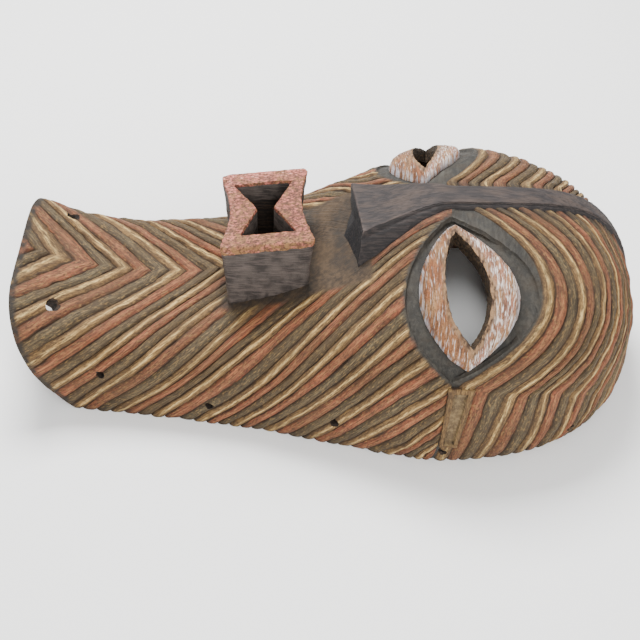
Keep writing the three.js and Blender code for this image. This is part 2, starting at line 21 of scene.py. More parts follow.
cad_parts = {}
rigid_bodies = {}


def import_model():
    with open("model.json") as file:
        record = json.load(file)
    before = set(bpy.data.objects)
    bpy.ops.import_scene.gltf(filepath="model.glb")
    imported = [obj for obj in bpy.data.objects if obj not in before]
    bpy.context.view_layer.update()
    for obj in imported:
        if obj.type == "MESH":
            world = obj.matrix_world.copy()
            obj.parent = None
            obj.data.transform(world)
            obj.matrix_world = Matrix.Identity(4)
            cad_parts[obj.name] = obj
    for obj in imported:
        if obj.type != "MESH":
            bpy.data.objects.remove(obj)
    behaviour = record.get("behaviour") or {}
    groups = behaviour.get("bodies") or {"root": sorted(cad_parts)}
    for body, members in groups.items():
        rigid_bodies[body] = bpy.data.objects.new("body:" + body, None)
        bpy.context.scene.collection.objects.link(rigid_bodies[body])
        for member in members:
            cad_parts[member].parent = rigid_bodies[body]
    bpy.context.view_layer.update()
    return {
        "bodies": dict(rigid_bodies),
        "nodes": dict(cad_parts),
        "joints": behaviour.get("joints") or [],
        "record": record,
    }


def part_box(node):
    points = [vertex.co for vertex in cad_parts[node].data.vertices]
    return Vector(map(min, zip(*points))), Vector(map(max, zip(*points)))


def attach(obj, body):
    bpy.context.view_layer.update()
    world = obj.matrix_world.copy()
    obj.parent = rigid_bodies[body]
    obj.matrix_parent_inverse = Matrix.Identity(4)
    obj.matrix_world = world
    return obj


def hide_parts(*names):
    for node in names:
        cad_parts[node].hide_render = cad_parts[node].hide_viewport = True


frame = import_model()

log = logging.getLogger("mask")

Array = np.ndarray
Socket = bpy.types.NodeSocket

MM = 0.001
NEAR, FAR = -1, 1
CHIN_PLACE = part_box("mask")[0][0] / MM


class Zone(Enum):
    """Finish of a stretch of the carving, numbered as its material slot."""

    STRIPES = 0
    BORDER = 1
    LID = 2
    NOSE = 3
    MOUTH_WALL = 4
    MOUTH_TOP = 5
    INSIDE = 6
    PANEL = 7
    BORE = 8
    SLIT = 9


class Cut(Enum):
    """How a tool solid changes the carving."""

    JOIN = "UNION"
    TAKE_AWAY = "DIFFERENCE"


def smooth_through(knots: tuple, values: tuple, at: Array) -> Array:
    """Smooth curve through knots: cubic pieces that share their slopes, level at the last knot.

    Args:
        knots: Places of the knots, rising.
        values: Value at each knot.
        at: Places wanted.

    Returns:
        The curve's values, held constant outside the knots.
    """
    x, y = np.asarray(knots, float), np.asarray(values, float)
    gap = np.diff(x)
    slope = np.diff(y) / gap
    inner = (slope[1:] * gap[:-1] + slope[:-1] * gap[1:]) / (gap[:-1] + gap[1:])
    tangent = np.concatenate([slope[:1], inner, [0.0]])
    place = np.clip(at, x[0], x[-1])
    i = np.clip(np.searchsorted(x, place, side="left") - 1, 0, len(gap) - 1)
    t = (place - x[i]) / gap[i]
    return (
        (2 * t**3 - 3 * t**2 + 1) * y[i]
        + (t**3 - 2 * t**2 + t) * gap[i] * tangent[i]
        + (3 * t**2 - 2 * t**3) * y[i + 1]
        + (t**3 - t**2) * gap[i] * tangent[i + 1]
    )


def eased(share: Array) -> Array:
    """Rise from 0 to 1 with level ends: 3 s squared minus 2 s cubed, held outside 0 to 1."""
    s = np.clip(share, 0, 1)
    return s * s * (3 - 2 * s)


def hump(knots: tuple, at: Array) -> Array:
    """Rise from 0 to 1 between the first two knots and fall back between the last two."""
    rise, top, edge, end = knots
    return eased((at - rise) / (top - rise)) * (1 - eased((at - edge) / (end - edge)))


@dataclass(frozen=True)
class Ripples:
    """Smooth unevenness: a sum of sine waves with random directions and lengths."""

    seed: int
    longest: float
    shortest: float
    waves: int = 20

    def at(self, points: Array) -> Array:
        """Values at points, with a spread of about 1.

        Args:
            points: Array of places, the last axis holding x, y and z.

        Returns:
            One value for each place.
        """
        rng = np.random.default_rng(self.seed)
        directions = rng.normal(size=(self.waves, 3))
        directions /= np.linalg.norm(directions, axis=1, keepdims=True)
        lengths = np.exp(rng.uniform(np.log(self.shortest), np.log(self.longest), self.waves))
        turns = points @ (directions / lengths[:, None]).T + rng.uniform(0, 1, self.waves)
        return np.sin(2 * np.pi * turns).sum(-1) / np.sqrt(self.waves / 2)


def uneven(places: Array, layers: tuple) -> Array:
    """Sum of ripples, each layer giving its height, seed, longest wave and shortest wave."""
    return sum(height * Ripples(*waves).at(places) for height, *waves in layers)


def roughened(points: Array, amount: float, seed: int, size: float = 14.0) -> Array:
    """Points moved by three ripples, one for each axis, as hand tools leave a surface.

    Args:
        points: Array of places in millimetres.
        amount: Usual shift in millimetres.
        seed: First seed of the ripples.
        size: Longest wave in millimetres.

    Returns:
        The shifted places.
    """
    shift = [Ripples(seed + axis, size, size / 5).at(points) for axis in range(3)]
    return points + amount * np.stack(shift, axis=-1)


@dataclass(frozen=True)
class BareFace:
    """The face without its carving: arched sections along the midline and a domed crown."""

    stations: tuple = (-280, -230, -150, -60, 30, 110)
    half_widths: tuple = (109, 101, 108, 121, 143, 160)
    heights: tuple = (112, 95, 85, 97, 138, 180)
    equators: tuple = (0, 0, 0, 6, 18, 33)
    chin_squareness: float = 4.4
    brow_squareness: float = 2.6
    least_squareness: float = 1.5
    crown_reach: float = 184
    crown_squareness: float = 2.2
    per_degree: float = 2.1
    under_equator: float = 18
    tuck: float = 0.049
    chin_rake: float = 40
    chin_flat_angle: float = 0.4
    wall: float = 11
    far_drift: float = 20
    drift_stations: tuple = (0, 70, 130, 290)
    drift_girths: tuple = (0, 20, 120, 185)
    sway_distances: tuple = (0, 40, 80, 120, 160, 210)
    sway_turns: tuple = (0, 0.1, 0.2, 0.22, 0.19, 0.13)

    @property
    def chin(self) -> float:
        """Station of the chin's tip."""
        return self.stations[0]

    @property
    def brow(self) -> float:
        """Station of the widest place, where the crown starts."""
        return self.stations[-1]

    @property
    def side_girth(self) -> float:
        """Girth at the side of the face, a quarter turn from the midline."""
        return 90 * self.per_degree

    @property
    def crown_girth(self) -> float:
        """Girth of the rim from the brow line on."""
        return (90 + self.under_equator) * self.per_degree

    def equator(self, station: Array) -> Array:
        """Height of the widest place above the rim's plane."""
        return np.maximum(smooth_through(self.stations, self.equators, station), 0)

    def top(self, station: Array) -> Array:
        """Height of the midline above the rim's plane."""
        return smooth_through(self.stations, self.heights, station)

    def rim_girth(self, station: Array) -> Array:
        """Girth of the rim at stations short of the brow line."""
        share = self.equator(station) / self.equators[-1]
        return self.side_girth + share * (self.crown_girth - self.side_girth)

    def section(self, degrees: Array, station: Array, power: Array) -> tuple:
        """Cross-section: a superellipse down to the equator, then a tuck under it to the rim.

        Args:
            degrees: Angle from the midline.
            station: Station of each section.
            power: Power of the superellipse.

        Returns:
            Share of the half width, and height above the rim's plane.
        """
        equator = self.equator(station)
        fullness = equator / self.equators[-1]
        span = np.where(fullness > 0, self.under_equator * fullness, 1)
        under = np.where(fullness > 0, np.clip((degrees - 90) / span, 0, 1), 1)
        angle = np.radians(np.minimum(degrees, 90))
        sine, cosine = np.sin(angle), np.abs(np.cos(angle))
        radius = (sine**power + cosine**power) ** (-1 / power)
        low = degrees > 90
        reach = np.where(low, 1 - self.tuck * fullness * under**2, radius * sine)
        high = equator + (self.top(station) - equator) * radius * cosine
        return reach, np.where(low, equator * (1 - under), high)

    def at(self, station: Array, girth: Array, side: int) -> Array:
        """Places of chart points on the bare face.

        Args:
            station: Stations.
            girth: Girths, of the same shape.
            side: NEAR or FAR.

        Returns:
            Array of x, y and z in millimetres.
        """
        station, girth = np.broadcast_arrays(np.asarray(station, float), np.asarray(girth, float))
        share = (station - self.chin) / (self.brow - self.chin)
        power = self.chin_squareness + share * (self.brow_squareness - self.chin_squareness)
        power = np.maximum(power, self.least_squareness)
        reach, height = self.section(girth / self.per_degree, station, power)
        half_width = smooth_through(self.stations, self.half_widths, station)
        body = np.stack([station, side * half_width * reach, height], axis=-1)
        forward = np.maximum(station - self.brow, 0)
        distance = np.hypot(forward, girth)
        turn = np.arctan2(girth, forward)
        sway = smooth_through(self.sway_distances, self.sway_turns, distance)
        swayed = side * turn + sway * (1 - turn / (np.pi / 2))
        level = np.full_like(station, self.brow)
        squareness = np.full_like(station, self.brow_squareness)
        reach, height = self.section(distance / self.per_degree, level, squareness)
        sine, cosine = np.sin(swayed), np.cos(swayed)
        power = self.crown_squareness
        plan = (np.abs(cosine) ** power + np.abs(sine) ** power) ** (-1 / power)
        along = self.brow + self.crown_reach * reach * plan * cosine
        across = self.half_widths[-1] * reach * plan * sine
        crown = np.stack([along, across, height], axis=-1)
        return np.where((station > self.brow)[..., None], crown, body)

    def drifted(self, station: Array, girth: Array, side: int) -> Array:
        """Station at which a chart point is carved: the far eye sits nearer to the chin."""
        drift = self.far_drift * hump(self.drift_stations, station) * hump(self.drift_girths, girth)
        return station - (side == FAR) * drift

    def outward(self, station: Array, girth: Array, side: int) -> Array:
        """Outward unit directions, from the cross product of the chart's two directions.

        Args:
            station: Stations.
            girth: Girths, of the same shape.
            side: NEAR or FAR.

        Returns:
            Array of unit vectors.
        """
        station, girth = np.broadcast_arrays(np.asarray(station, float), np.asarray(girth, float))
        step = 0.5
        along = self.at(station + step, girth, side) - self.at(station - step, girth, side)
        mirrored = self.at(station, np.abs(step - girth), -side)
        behind = self.at(station, np.maximum(girth - step, 0), side)
        back = np.where((girth < step)[..., None], mirrored, behind)
        normal = np.cross(self.at(station, girth + step, side) - back, along) * -side
        normal[..., 0] = np.where(station <= self.brow, 0, normal[..., 0])
        return normal / np.linalg.norm(normal, axis=-1, keepdims=True)

    def lifted(self, station: Array, girth: Array, side: int, height: Array) -> Array:
        """Places lifted off the bare face along its outward direction.

        Args:
            station: Stations.
            girth: Girths, of the same shape.
            side: NEAR or FAR.
            height: Height of each place over the bare face.

        Returns:
            Array of places, none of them below the rim's plane.
        """
        lift = np.asarray(height, float)[..., None] * self.outward(station, girth, side)
        points = self.at(station, girth, side) + lift
        points[..., 2] = np.maximum(points[..., 2], 0)
        return points

    def chin_edge(self, girth: Array) -> Array:
        """Station of the chin's end edge, raked back with the square of the angle."""
        angle = np.radians(girth / self.per_degree)
        return self.chin + self.chin_rake * np.maximum(angle - self.chin_flat_angle, 0) ** 2

    def rim_place(self, distance: Array) -> tuple:
        """Chart place at a distance along the rim: up the chin's end, the side, then the crown.

        Args:
            distance: Distances along the rim from the chin's tip.

        Returns:
            Stations and girths.
        """
        distance = np.asarray(distance, float)
        corner = self.chin_edge(np.array(self.side_girth))
        station = corner + distance - self.side_girth
        turn = np.pi / 2 - (station - self.brow) / self.crown_girth
        on_chin = distance <= self.side_girth
        on_side = station <= self.brow
        round_station = self.brow + self.crown_girth * np.cos(turn)
        round_girth = self.crown_girth * np.sin(turn)
        side_girth = self.rim_girth(np.minimum(station, self.brow))
        return (
            np.where(on_chin, self.chin_edge(distance), np.where(on_side, station, round_station)),
            np.where(on_chin, distance, np.where(on_side, side_girth, round_girth)),
        )


FACE = BareFace()


@dataclass(frozen=True)
class Lens:
    """Lens-shaped outline round the eye: two parabolas that meet at the corners."""

    half_length: float
    chinward: float
    crownward: float
    station: float = 112
    girth: float = 77
    lean: float = 0

    def axis(self, girth: Array) -> Array:
        """Station of the line through the two corners."""
        return self.station + self.lean * (girth - self.girth)

    def outline(self, share: float, sides: int = 96) -> tuple:
        """Outline scaled about the eye's middle.

        The place at an angle has a girth of the half length times its cosine and a station of
        the reach times the square of its sine.

        Args:
            share: Scale of the outline.
            sides: Number of places on it.

        Returns:
            Stations and girths.
        """
        angle = np.arange(sides) * 2 * np.pi / sides
        reach = np.where(np.sin(angle) > 0, self.crownward, -self.chinward)
        girth = self.girth + share * self.half_length * np.cos(angle)
        return self.axis(girth) + share * reach * np.sin(angle) ** 2, girth

    def outside(self, station: Array, girth: Array) -> Array:
        """Roughly how far chart points lie outside the outline.

        It is the distance past the parabola along the station, over the parabola's steepness.

        Args:
            station: Stations.
            girth: Girths, of the same shape.

        Returns:
            Distances, negative inside the outline.
        """
        across = (girth - self.girth) / self.half_length
        beside = station - self.axis(girth)
        reach = np.where(beside > 0, self.crownward, self.chinward)
        limit = reach * (1 - across**2)
        steepness = np.hypot(1, 2 * reach * across / self.half_length)
        return (np.abs(beside) - limit) / steepness


SOCKET = Lens(59, 41, 42)
LIDS = Lens(53, 34, 28, 117, 76, 0.07)
SLIT = Lens(38, 12.5, 11.5, 117, 74, 0.115)


def bow(first: tuple, middle: tuple, last: tuple, t: Array) -> tuple:
    """Parabola through three chart places, reached at t of 0, one half and 1.

    Args:
        first: Station and girth at the start.
        middle: Station and girth half way along.
        last: Station and girth at the end.
        t: Share of the way along.

    Returns:
        Stations and girths.
    """
    weights = ((1 - t) * (1 - 2 * t), 4 * t * (1 - t), t * (2 * t - 1))
    places = (first, middle, last)
    return tuple(sum(w * place[k] for w, place in zip(weights, places)) for k in (0, 1))


@dataclass(frozen=True)
class CheekStripes:
    """Stripes from the midline or the eye line to the chin's end and the rim."""

    stripes: float = 43.5
    counts: tuple = (
        0, 2.5, 3.5, 5.5, 8.5, 11.5, 14.5, 17.5, 20.5, 23.5, 26.5, 29.5, 32.5, 35.5, 38.5, 41.5, 43.5
    )
    starts: tuple = (
        0, 33, 62, 95, 145, 193, 240, 285, 400, 424, 448, 476, 506, 531, 557, 587, 618
    )
    middle_stations: tuple = (
        -280, -264, -246, -227, -194, -164, -137, -94, -48, 4, 18, 31, 52, 66, 85, 97, 103
    )
    middle_girths: tuple = (
        0, 27, 34, 47, 66, 76, 85, 87, 82, 78, 97, 122, 141, 168, 190, 207, 226
    )
    ends: tuple = (
        0, 52, 65, 90, 126, 158, 188, 227, 265, 305, 337, 368, 405, 437, 478, 505, 517
    )
    eye_line_droop: float = 9

    @property
    def to_eye(self) -> float:
        """Distance along the midline from the chin to the eye line."""
        return SOCKET.station - FACE.chin

    @property
    def root_count(self) -> float:
        """Count of the stripe line that starts where the eye line meets the midline."""
        return float(np.interp(self.to_eye, self.starts, self.counts))

    def eye_line(self, girth: Array) -> Array:
        """Station of the eye line, which droops past the eye's outer corner."""
        corner = SOCKET.girth + SOCKET.half_length
        return SOCKET.station - np.interp(girth, [corner, FACE.crown_girth], [0, self.eye_line_droop])

    def chart(self, count: Array, t: Array) -> tuple:
        """Chart places of stripe lines.

        Args:
            count: Count of the line at each place.
            t: Share of the way along the line.

        Returns:
            Stations and girths.
        """
        distance = np.interp(count, self.counts, self.starts)
        girth = np.maximum(distance - self.to_eye, 0)
        station = np.where(distance <= self.to_eye, FACE.chin + distance, self.eye_line(girth))
        middle = (
            smooth_through(self.counts, self.middle_stations, count),
            smooth_through(self.counts, self.middle_girths, count),
        )
        end = FACE.rim_place(np.interp(count, self.counts, self.ends))
        return bow((station, girth), middle, end, t)


@dataclass(frozen=True)
class BrowStripes:
    """Stripes from the crest round the eye to the temple, and straight on to the rim.

    The last knot lies past the crown's tip, and only gives the guides their slope at the tip.
    """

    stripes: float = 33
    counts: tuple = (0, 3.5, 6.5, 9.5, 12.5, 15.5, 24, 33, 42)
    starts: tuple = (112, 134, 160, 180, 196, 211, 268, 336.8, 405.6)
    middle_stations: tuple = (155, 180, 197, 213, 228, 243, 298, 336.8, 375.6)
    middle_girths: tuple = (71, 72, 68, 63, 61, 58, 36, 0, -36)
    temple_stations: tuple = (116, 150, 174, 201, 227, 257, 311, 336.8, 362.6)
    temple_girths: tuple = (137, 142, 137, 135, 128, 116, 60, 0, -60)
    ends: tuple = (519, 564, 613, 651, 680, 712, 796, 880.4, 964.8)
    temple_share: float = 0.66

    def chart(self, count: Array, t: Array) -> tuple:
        """Chart places of stripe lines.

        Args:
            count: Count of the line at each place.
            t: Share of the way along the line; the temple is at the temple share.

        Returns:
            Stations and girths.
        """
        guides = (self.middle_stations, self.middle_girths, self.temple_stations, self.temple_girths)
        curves = [smooth_through(self.counts, guide, count) for guide in guides]
        start = (np.interp(count, self.counts, self.starts), np.zeros_like(count))
        middle, temple = tuple(curves[:2]), tuple(curves[2:])
        end = FACE.rim_place(np.interp(count, self.counts, self.ends))
        upper = bow(start, middle, temple, np.minimum(t / self.temple_share, 1))
        down = np.clip((t - self.temple_share) / (1 - self.temple_share), 0, 1)
        return tuple(upper[k] + down * (end[k] - temple[k]) for k in (0, 1))


VALUE_KINDS = {"stripe": ("FLOAT", 1), "flow": ("FLOAT_VECTOR", 3), "tone": ("FLOAT_VECTOR", 3)}


@dataclass
class Skin:
    """Vertices, triangles and vertex values of one closed surface, gathered patch by patch."""

    points: list = field(default_factory=list)
    values: dict = field(default_factory=lambda: {name: [] for name in VALUE_KINDS})
    faces: list = field(default_factory=list)
    zones: list = field(default_factory=list)
    size: int = 0

    def add(self, points: Array, **values: Array) -> Array:
        """Add vertices.

        Args:
            points: Array of places, the last axis holding x, y and z.
            **values: Vertex values by name, missing ones being 0.

        Returns:
            The vertices' numbers, in the shape of the points.
        """
        shape = points.shape[:-1]
        count = int(np.prod(shape))
        self.points.append(points.reshape(-1, 3))
        for name, (_, width) in VALUE_KINDS.items():
            value = np.zeros(shape + (width,))
            if name in values:
                value += np.asarray(values[name], float).reshape(shape + (width,))
            self.values[name].append(value.reshape(-1, width))
        self.size += count
        return np.arange(self.size - count, self.size).reshape(shape)

    def triangles(self, faces: Array, zone: Zone) -> None:
        """Add triangles of one finish, as rows of three vertex numbers."""
        self.faces.append(faces.reshape(-1, 3))
        self.zones.append(np.full(len(self.faces[-1]), zone.value))

    def sheet(self, points: Array, zone: Zone, **values: Array) -> Array:
        """Add a grid of vertices and its faces, each square cut along its shorter diagonal.

        Args:
            points: Rows of places.
            zone: Finish of the faces.
            **values: Vertex values by name.

        Returns:
            The vertices' numbers, in rows.
        """
        rows = self.add(points, **values)
        a, b, c, d = rows[:-1, :-1], rows[:-1, 1:], rows[1:, 1:], rows[1:, :-1]
        one = np.linalg.norm(points[:-1, :-1] - points[1:, 1:], axis=-1)
        other = np.linalg.norm(points[:-1, 1:] - points[1:, :-1], axis=-1)
        short = (one <= other)[..., None]
        first = np.where(short, np.stack([a, b, c], -1), np.stack([a, b, d], -1))
        second = np.where(short, np.stack([a, c, d], -1), np.stack([b, c, d], -1))
        self.triangles(np.concatenate([first.reshape(-1, 3), second.reshape(-1, 3)]), zone)
        return rows

    def zipper(self, first: Array, second: Array, at: tuple, zone: Zone) -> None:
        """Join two rows of vertices that run side by side.

        A stretch of one row makes a triangle with the vertex of the other row that stands after
        all stretches whose middles come before its own.

        Args:
            first: Vertex numbers of one row.
            second: Vertex numbers of the other row.
            at: Places along the way of both rows, each rising.
            zone: Finish of the faces.
        """
        middle_a = (at[0][1:] + at[0][:-1]) / 2
        middle_b = (at[1][1:] + at[1][:-1]) / 2
        j = np.searchsorted(middle_b, middle_a, side="left")
        i = np.searchsorted(middle_a, middle_b, side="right")
        self.triangles(np.stack([first[:-1], first[1:], second[j]], -1), zone)
        self.triangles(np.stack([first[i], second[1:], second[:-1]], -1), zone)

    def made(self, name: str, finishes: list) -> bpy.types.Object:
        """Mesh object of the closed surface, with its doubles merged and faces pointing out.

        Args:
            name: Name of the object.
            finishes: Materials in the order of the zones.

        Returns:
            The linked object.
        """
        points = np.concatenate(self.points)
        grain = 0.004
        _, kept, number = np.unique(
            np.round(points / grain).astype(np.int64), axis=0, return_index=True, return_inverse=True
        )
        own = np.concatenate(self.faces)
        faces = number.reshape(-1)[own]
        whole = (faces != np.roll(faces, 1, axis=1)).all(axis=1)
        own, faces, zones = own[whole], faces[whole], np.concatenate(self.zones)[whole]
        places = (points[kept] + [CHIN_PLACE - FACE.chin, 0, 0]) * MM
        mesh = bpy.data.meshes.new(name)
        mesh.from_pydata(places, [], faces)
        mesh.polygons.foreach_set("material_index", zones)
        for value, (kind, width) in VALUE_KINDS.items():
            layer = mesh.attributes.new(value, kind, "CORNER")
            data = np.concatenate(self.values[value])[own].reshape(-1)
            layer.data.foreach_set("value" if width == 1 else "vector", data)
        for material in finishes:
            mesh.materials.append(material)
        turned = bmesh.new()
        turned.from_mesh(mesh)
        bmesh.ops.recalc_face_normals(turned, faces=turned.faces)
        open_edges = sum(not edge.is_manifold for edge in turned.edges)
        if turned.calc_volume(signed=True) < 0:
            bmesh.ops.reverse_faces(turned, faces=turned.faces)
        turned.to_mesh(mesh)
        turned.free()
        piece = bpy.data.objects.new(name, mesh)
        bpy.context.scene.collection.objects.link(piece)
        log.info("%s: %d triangles, %d open edges", name, len(faces), open_edges)
        return piece


def loft(skin: Skin, loops: Array, zones: tuple, **values: Array) -> None:
    """Add a closed solid through a stack of closed loops, with a fan at each end.

    Args:
        skin: Skin that takes the solid.
        loops: Loops of places, one to a row.
        zones: Finish of the first cap, the bands and the last cap.
        **values: Vertex values by name.
    """
    rows = skin.add(loops, **values)
    wrapped = np.concatenate([rows, rows[:, :1]], axis=1)
    a, b, c, d = wrapped[:-1, :-1], wrapped[:-1, 1:], wrapped[1:, 1:], wrapped[1:, :-1]
    for band in range(len(loops) - 1):
        zone = zones[1] if isinstance(zones[1], Zone) else zones[1][band]
        skin.triangles(np.stack([a[band], b[band], c[band]], -1), zone)
        skin.triangles(np.stack([a[band], c[band], d[band]], -1), zone)
    for end, zone in ((0, zones[0]), (-1, zones[2])):
        inner = {name: value[end].mean(axis=0) for name, value in values.items()}
        middle = skin.add(loops[end].mean(axis=0)[None], **{k: v[None] for k, v in inner.items()})
        fan = np.broadcast_to(middle, rows[end].shape)
        skin.triangles(np.stack([fan, wrapped[end][:-1], wrapped[end][1:]], -1), zone)


def carve(target: bpy.types.Object, tool: bpy.types.Object, cut: Cut) -> None:
    """Change the carving by a tool solid, which is then deleted.

    Args:
        target: Object of the carving.
        tool: Object of the tool.
        cut: Whether the tool is joined on or taken away.
    """
    modifier = target.modifiers.new("cut", "BOOLEAN")
    modifier.operation = cut.value
    modifier.solver = "MANIFOLD"
    modifier.object = tool
    bpy.context.view_layer.update()
    graph = bpy.context.evaluated_depsgraph_get()
    result = bpy.data.meshes.new_from_object(
        target.evaluated_get(graph), preserve_all_data_layers=True, depsgraph=graph
    )
    target.modifiers.remove(modifier)
    target.data = result
    bpy.data.objects.remove(tool)
    log.info("%s: %d faces", cut.value, len(result.polygons))


@dataclass
class StripedShell:
    """Hollow shell of the face with its carved stripes and smooth inner wall.

    An end or an edge gives where a slope starts and its width, and the painted shade round the
    mouth and the nose and the darkening towards the rim give their share and their reach.
    The hand and adze waves give height, seed, longest wave and shortest wave. The plain ground and
    the mouth's foot give their first and last station and their half width, and the plain ground
    the width of its fade as well.
    """

    ridge: float = 1.3
    groove: float = 1.3
    places: tuple = (0, 0.08, 0.24, 0.5, 0.76, 0.92)
    cheek_columns: int = 68
    brow_columns: int = 76
    pitch: float = 10.5
    cheek_seed: int = 11
    brow_seed: int = 21
    brow_shift: int = 2
    brow_apart: int = 60
    wobble: float = 0.05
    wobble_waves: tuple = (1.5, 3, 5, 8)
    wobble_fall: float = 0.7
    skew_spread: float = 0.16
    height_spread: tuple = (0.88, 1.12)
    swell: float = 0.13
    swell_waves: tuple = (60, 12)
    eye_end: tuple = (-0.5, 5)
    chin_end: tuple = (2.5, 4)
    hand_waves: tuple = ((0.3, 5, 70, 14), (0.09, 6, 9, 3))
    adze_waves: tuple = ((0.7, 31, 55, 18), (0.25, 32, 16, 7))
    wall_rows: tuple = (46, 26)
    wall_steps: int = 44
    plain: tuple = (-80, 40, 50, 9)
    mouth_foot: tuple = (-88, -12, 50)
    nose_tip: float = 14
    nose_stations: tuple = (16, 30, 112, 320)
    nose_girths: tuple = (30, 42, 13, 7)
    # Painted shade round the mouth's and the nose's feet, and a darkening towards the rim.
    mouth_shade: tuple = (0.85, 7)
    nose_shade: tuple = (0.75, 5)
    rim_darkening: tuple = (0.75, 5)
    chin_soot: tuple = (3.5, 4)
    border_edge: tuple = (0.5, 2.5)
    eye_rows: int = 4
    chips: int = 170
    chip_seed: int = 77
    chip_stations: tuple = (-265, 300)
    chip_girths: tuple = (8, 210)
    chip_radii: tuple = (1.3, 3.6)
    chip_depths: tuple = (0.3, 1.1)
    cheek: CheekStripes = CheekStripes()
    brow: BrowStripes = BrowStripes()

    def plain_share(self, station: Array, girth: Array) -> Array:
        """Share of plain ground, which lies between the mouth and the nose and fades out.

        Args:
            station: Stations.
            girth: Girths, of the same shape.

        Returns:
            1 on the plain ground, falling to 0 round it.
        """
        left, right, half, fade = self.plain
        outside = np.maximum.reduce([left - station, station - right, girth - half])
        return 1 - np.clip(outside / fade, 0, 1)

    def wobbled(self, stripes: float, columns: int, seed: int) -> Array:
        """Hand-drawn wander of each stripe line, a few sine waves that vanish at both ends.

        Args:
            stripes: Number of stripes.
            columns: Vertices along a line.
            seed: Seed of the wander.

        Returns:
            Wander in stripes, by line and column, and 0 on the first and the last line.
        """
        rng = np.random.default_rng(seed)
        t = np.linspace(0, 1, columns)
        lines = int(np.ceil(stripes)) + 1
        wander = np.zeros((lines, columns))
        for waves in self.wobble_waves:
            size = rng.normal(size=(lines, 1)) / waves**self.wobble_fall
            wander += size * np.sin(2 * np.pi * (waves * t + rng.uniform(0, 1, (lines, 1))))
        wander *= self.wobble * np.sin(np.pi * t) ** 0.5
        wander[[0, -1]] = 0
        return wander

    def rows_of(self, stripes: float, seed: int, extra: tuple, columns: int) -> tuple:
        """Counts of the mesh rows, each stripe's line being drawn with its own wander.

        Args:
            stripes: Number of stripes.
            seed: Seed of the wander.
            extra: Counts of further rows.
            columns: Vertices along a row.

        Returns:
            Plain counts by row, wandering counts by row and column, and shares along the row.
        """
        plain = (np.arange(int(np.ceil(stripes)))[:, None] + np.array(self.places)).ravel()
        counts = np.unique(np.concatenate([plain[plain < stripes], [stripes], extra]))
        wander = self.wobbled(stripes, columns, seed)
        line = np.minimum(np.floor(counts).astype(int), len(wander) - 2)
        share = (counts - line)[:, None]
        drawn = counts[:, None] + (1 - share) * wander[line] + share * wander[line + 1]
        return counts, np.clip(drawn, 0, stripes), np.linspace(0, 1, columns)

    def relief(self, counts: Array, places: Array, seed: int) -> Array:
        """Height of rounded ridges and narrow grooves.

        A stripe rises from its groove as 1 minus the cube of the distance from its middle, which
        is skewed a little to one side, and its height swells and sinks along the way.

        Args:
            counts: Count of each row.
            places: Places of the bare face, by row and column.
            seed: Seed of the stripes' skews, heights and swells.

        Returns:
            Heights by row and column.
        """
        rng = np.random.default_rng(seed)
        line = np.floor(counts + 1e-9).astype(int)
        share = np.clip(counts - line, 0, 1)
        skew = np.exp(rng.normal(0, self.skew_spread, line.max() + 1))[line]
        height = rng.uniform(*self.height_spread, line.max() + 1)[line]
        rise = 1 - np.abs(2 * share**skew - 1) ** 3
        swell = 1 + self.swell * Ripples(seed, *self.swell_waves).at(places)
        return -self.groove + (self.ridge + self.groove) * (rise * height)[:, None] * swell

    def stripes_patch(self, skin: Skin, side: int, is_brow: bool) -> tuple:
        """Add the cheek or the brow of one side.

        Args:
            skin: Skin that takes the patch.
            side: NEAR or FAR.
            is_brow: Whether the brow is made, and not the cheek.

        Returns:
            Rows of vertex numbers, their chart places and the rows' counts.
        """
        guide = self.brow if is_brow else self.cheek
        columns = self.brow_columns if is_brow else self.cheek_columns
        seed = self.brow_seed if is_brow else self.cheek_seed
        extra = () if is_brow else (self.cheek.root_count,)
        counts, drawn, t = self.rows_of(guide.stripes, seed + side, extra, columns)
        t = np.broadcast_to(t, drawn.shape)
        station, girth = guide.chart(drawn, t)
        tip = (FACE.brow + FACE.crown_girth, 0)
        station[-1], girth[-1] = tip if is_brow else FACE.rim_place(self.cheek.ends[-1])
        carved_at = FACE.drifted(station, girth, side)
        bare = FACE.at(carved_at, girth, side)
        share = 1 - self.plain_share(station, girth)
        height = self.relief(counts, bare, seed) * share
        if not is_brow:
            to_end = np.minimum(
                SOCKET.outside(station, girth),
                np.where(girth > SOCKET.girth, self.cheek.eye_line(girth) - station, np.inf),
            )
            start, width = self.eye_end
            height = -self.groove + (height + self.groove) * eased((to_end - start) / width)
            start, width = self.chin_end
            height *= eased((station - FACE.chin_edge(girth) - start) / width)
        rim = (t == 1) | (counts == guide.stripes)[:, None]
        outer = self.carved(carved_at, girth, side, height)
        grounded = rim & (station >= FACE.chin_edge(np.array(FACE.side_girth)))
        outer[..., 2] = np.where(grounded, 0, outer[..., 2])
        length = np.cumsum(
            np.linalg.norm(np.diff(bare, axis=1, prepend=bare[:, :1]), axis=-1), axis=1
        )
        count = np.broadcast_to(counts[:, None], t.shape)
        across = (count + self.brow_apart * is_brow) * self.pitch
        values = {
            "stripe": count + self.brow_shift * is_brow,
            "flow": np.stack([side * length, across, 0 * t], -1) * MM,
            "tone": self.tones(station, girth),
        }
        rows = skin.sheet(outer, Zone.STRIPES, **values)
        return rows, (station, girth), counts

    def carved(self, station: Array, girth: Array, side: int, height: Array) -> Array:
        """Places of the carved surface: the relief's height, hand unevenness and chips.

        Args:
            station: Stations.
            girth: Girths, of the same shape.
            side: NEAR or FAR.
            height: Height of the relief.

        Returns:
            Array of places.
        """
        bare = FACE.at(station, girth, side)
        at_root = (girth < 1e-6) & (np.abs(station - SOCKET.station) < 1e-6)
        lift = np.where(at_root, 0, height) + uneven(bare, self.hand_waves) - self.chipped(bare)
        return FACE.lifted(station, girth, side, lift)

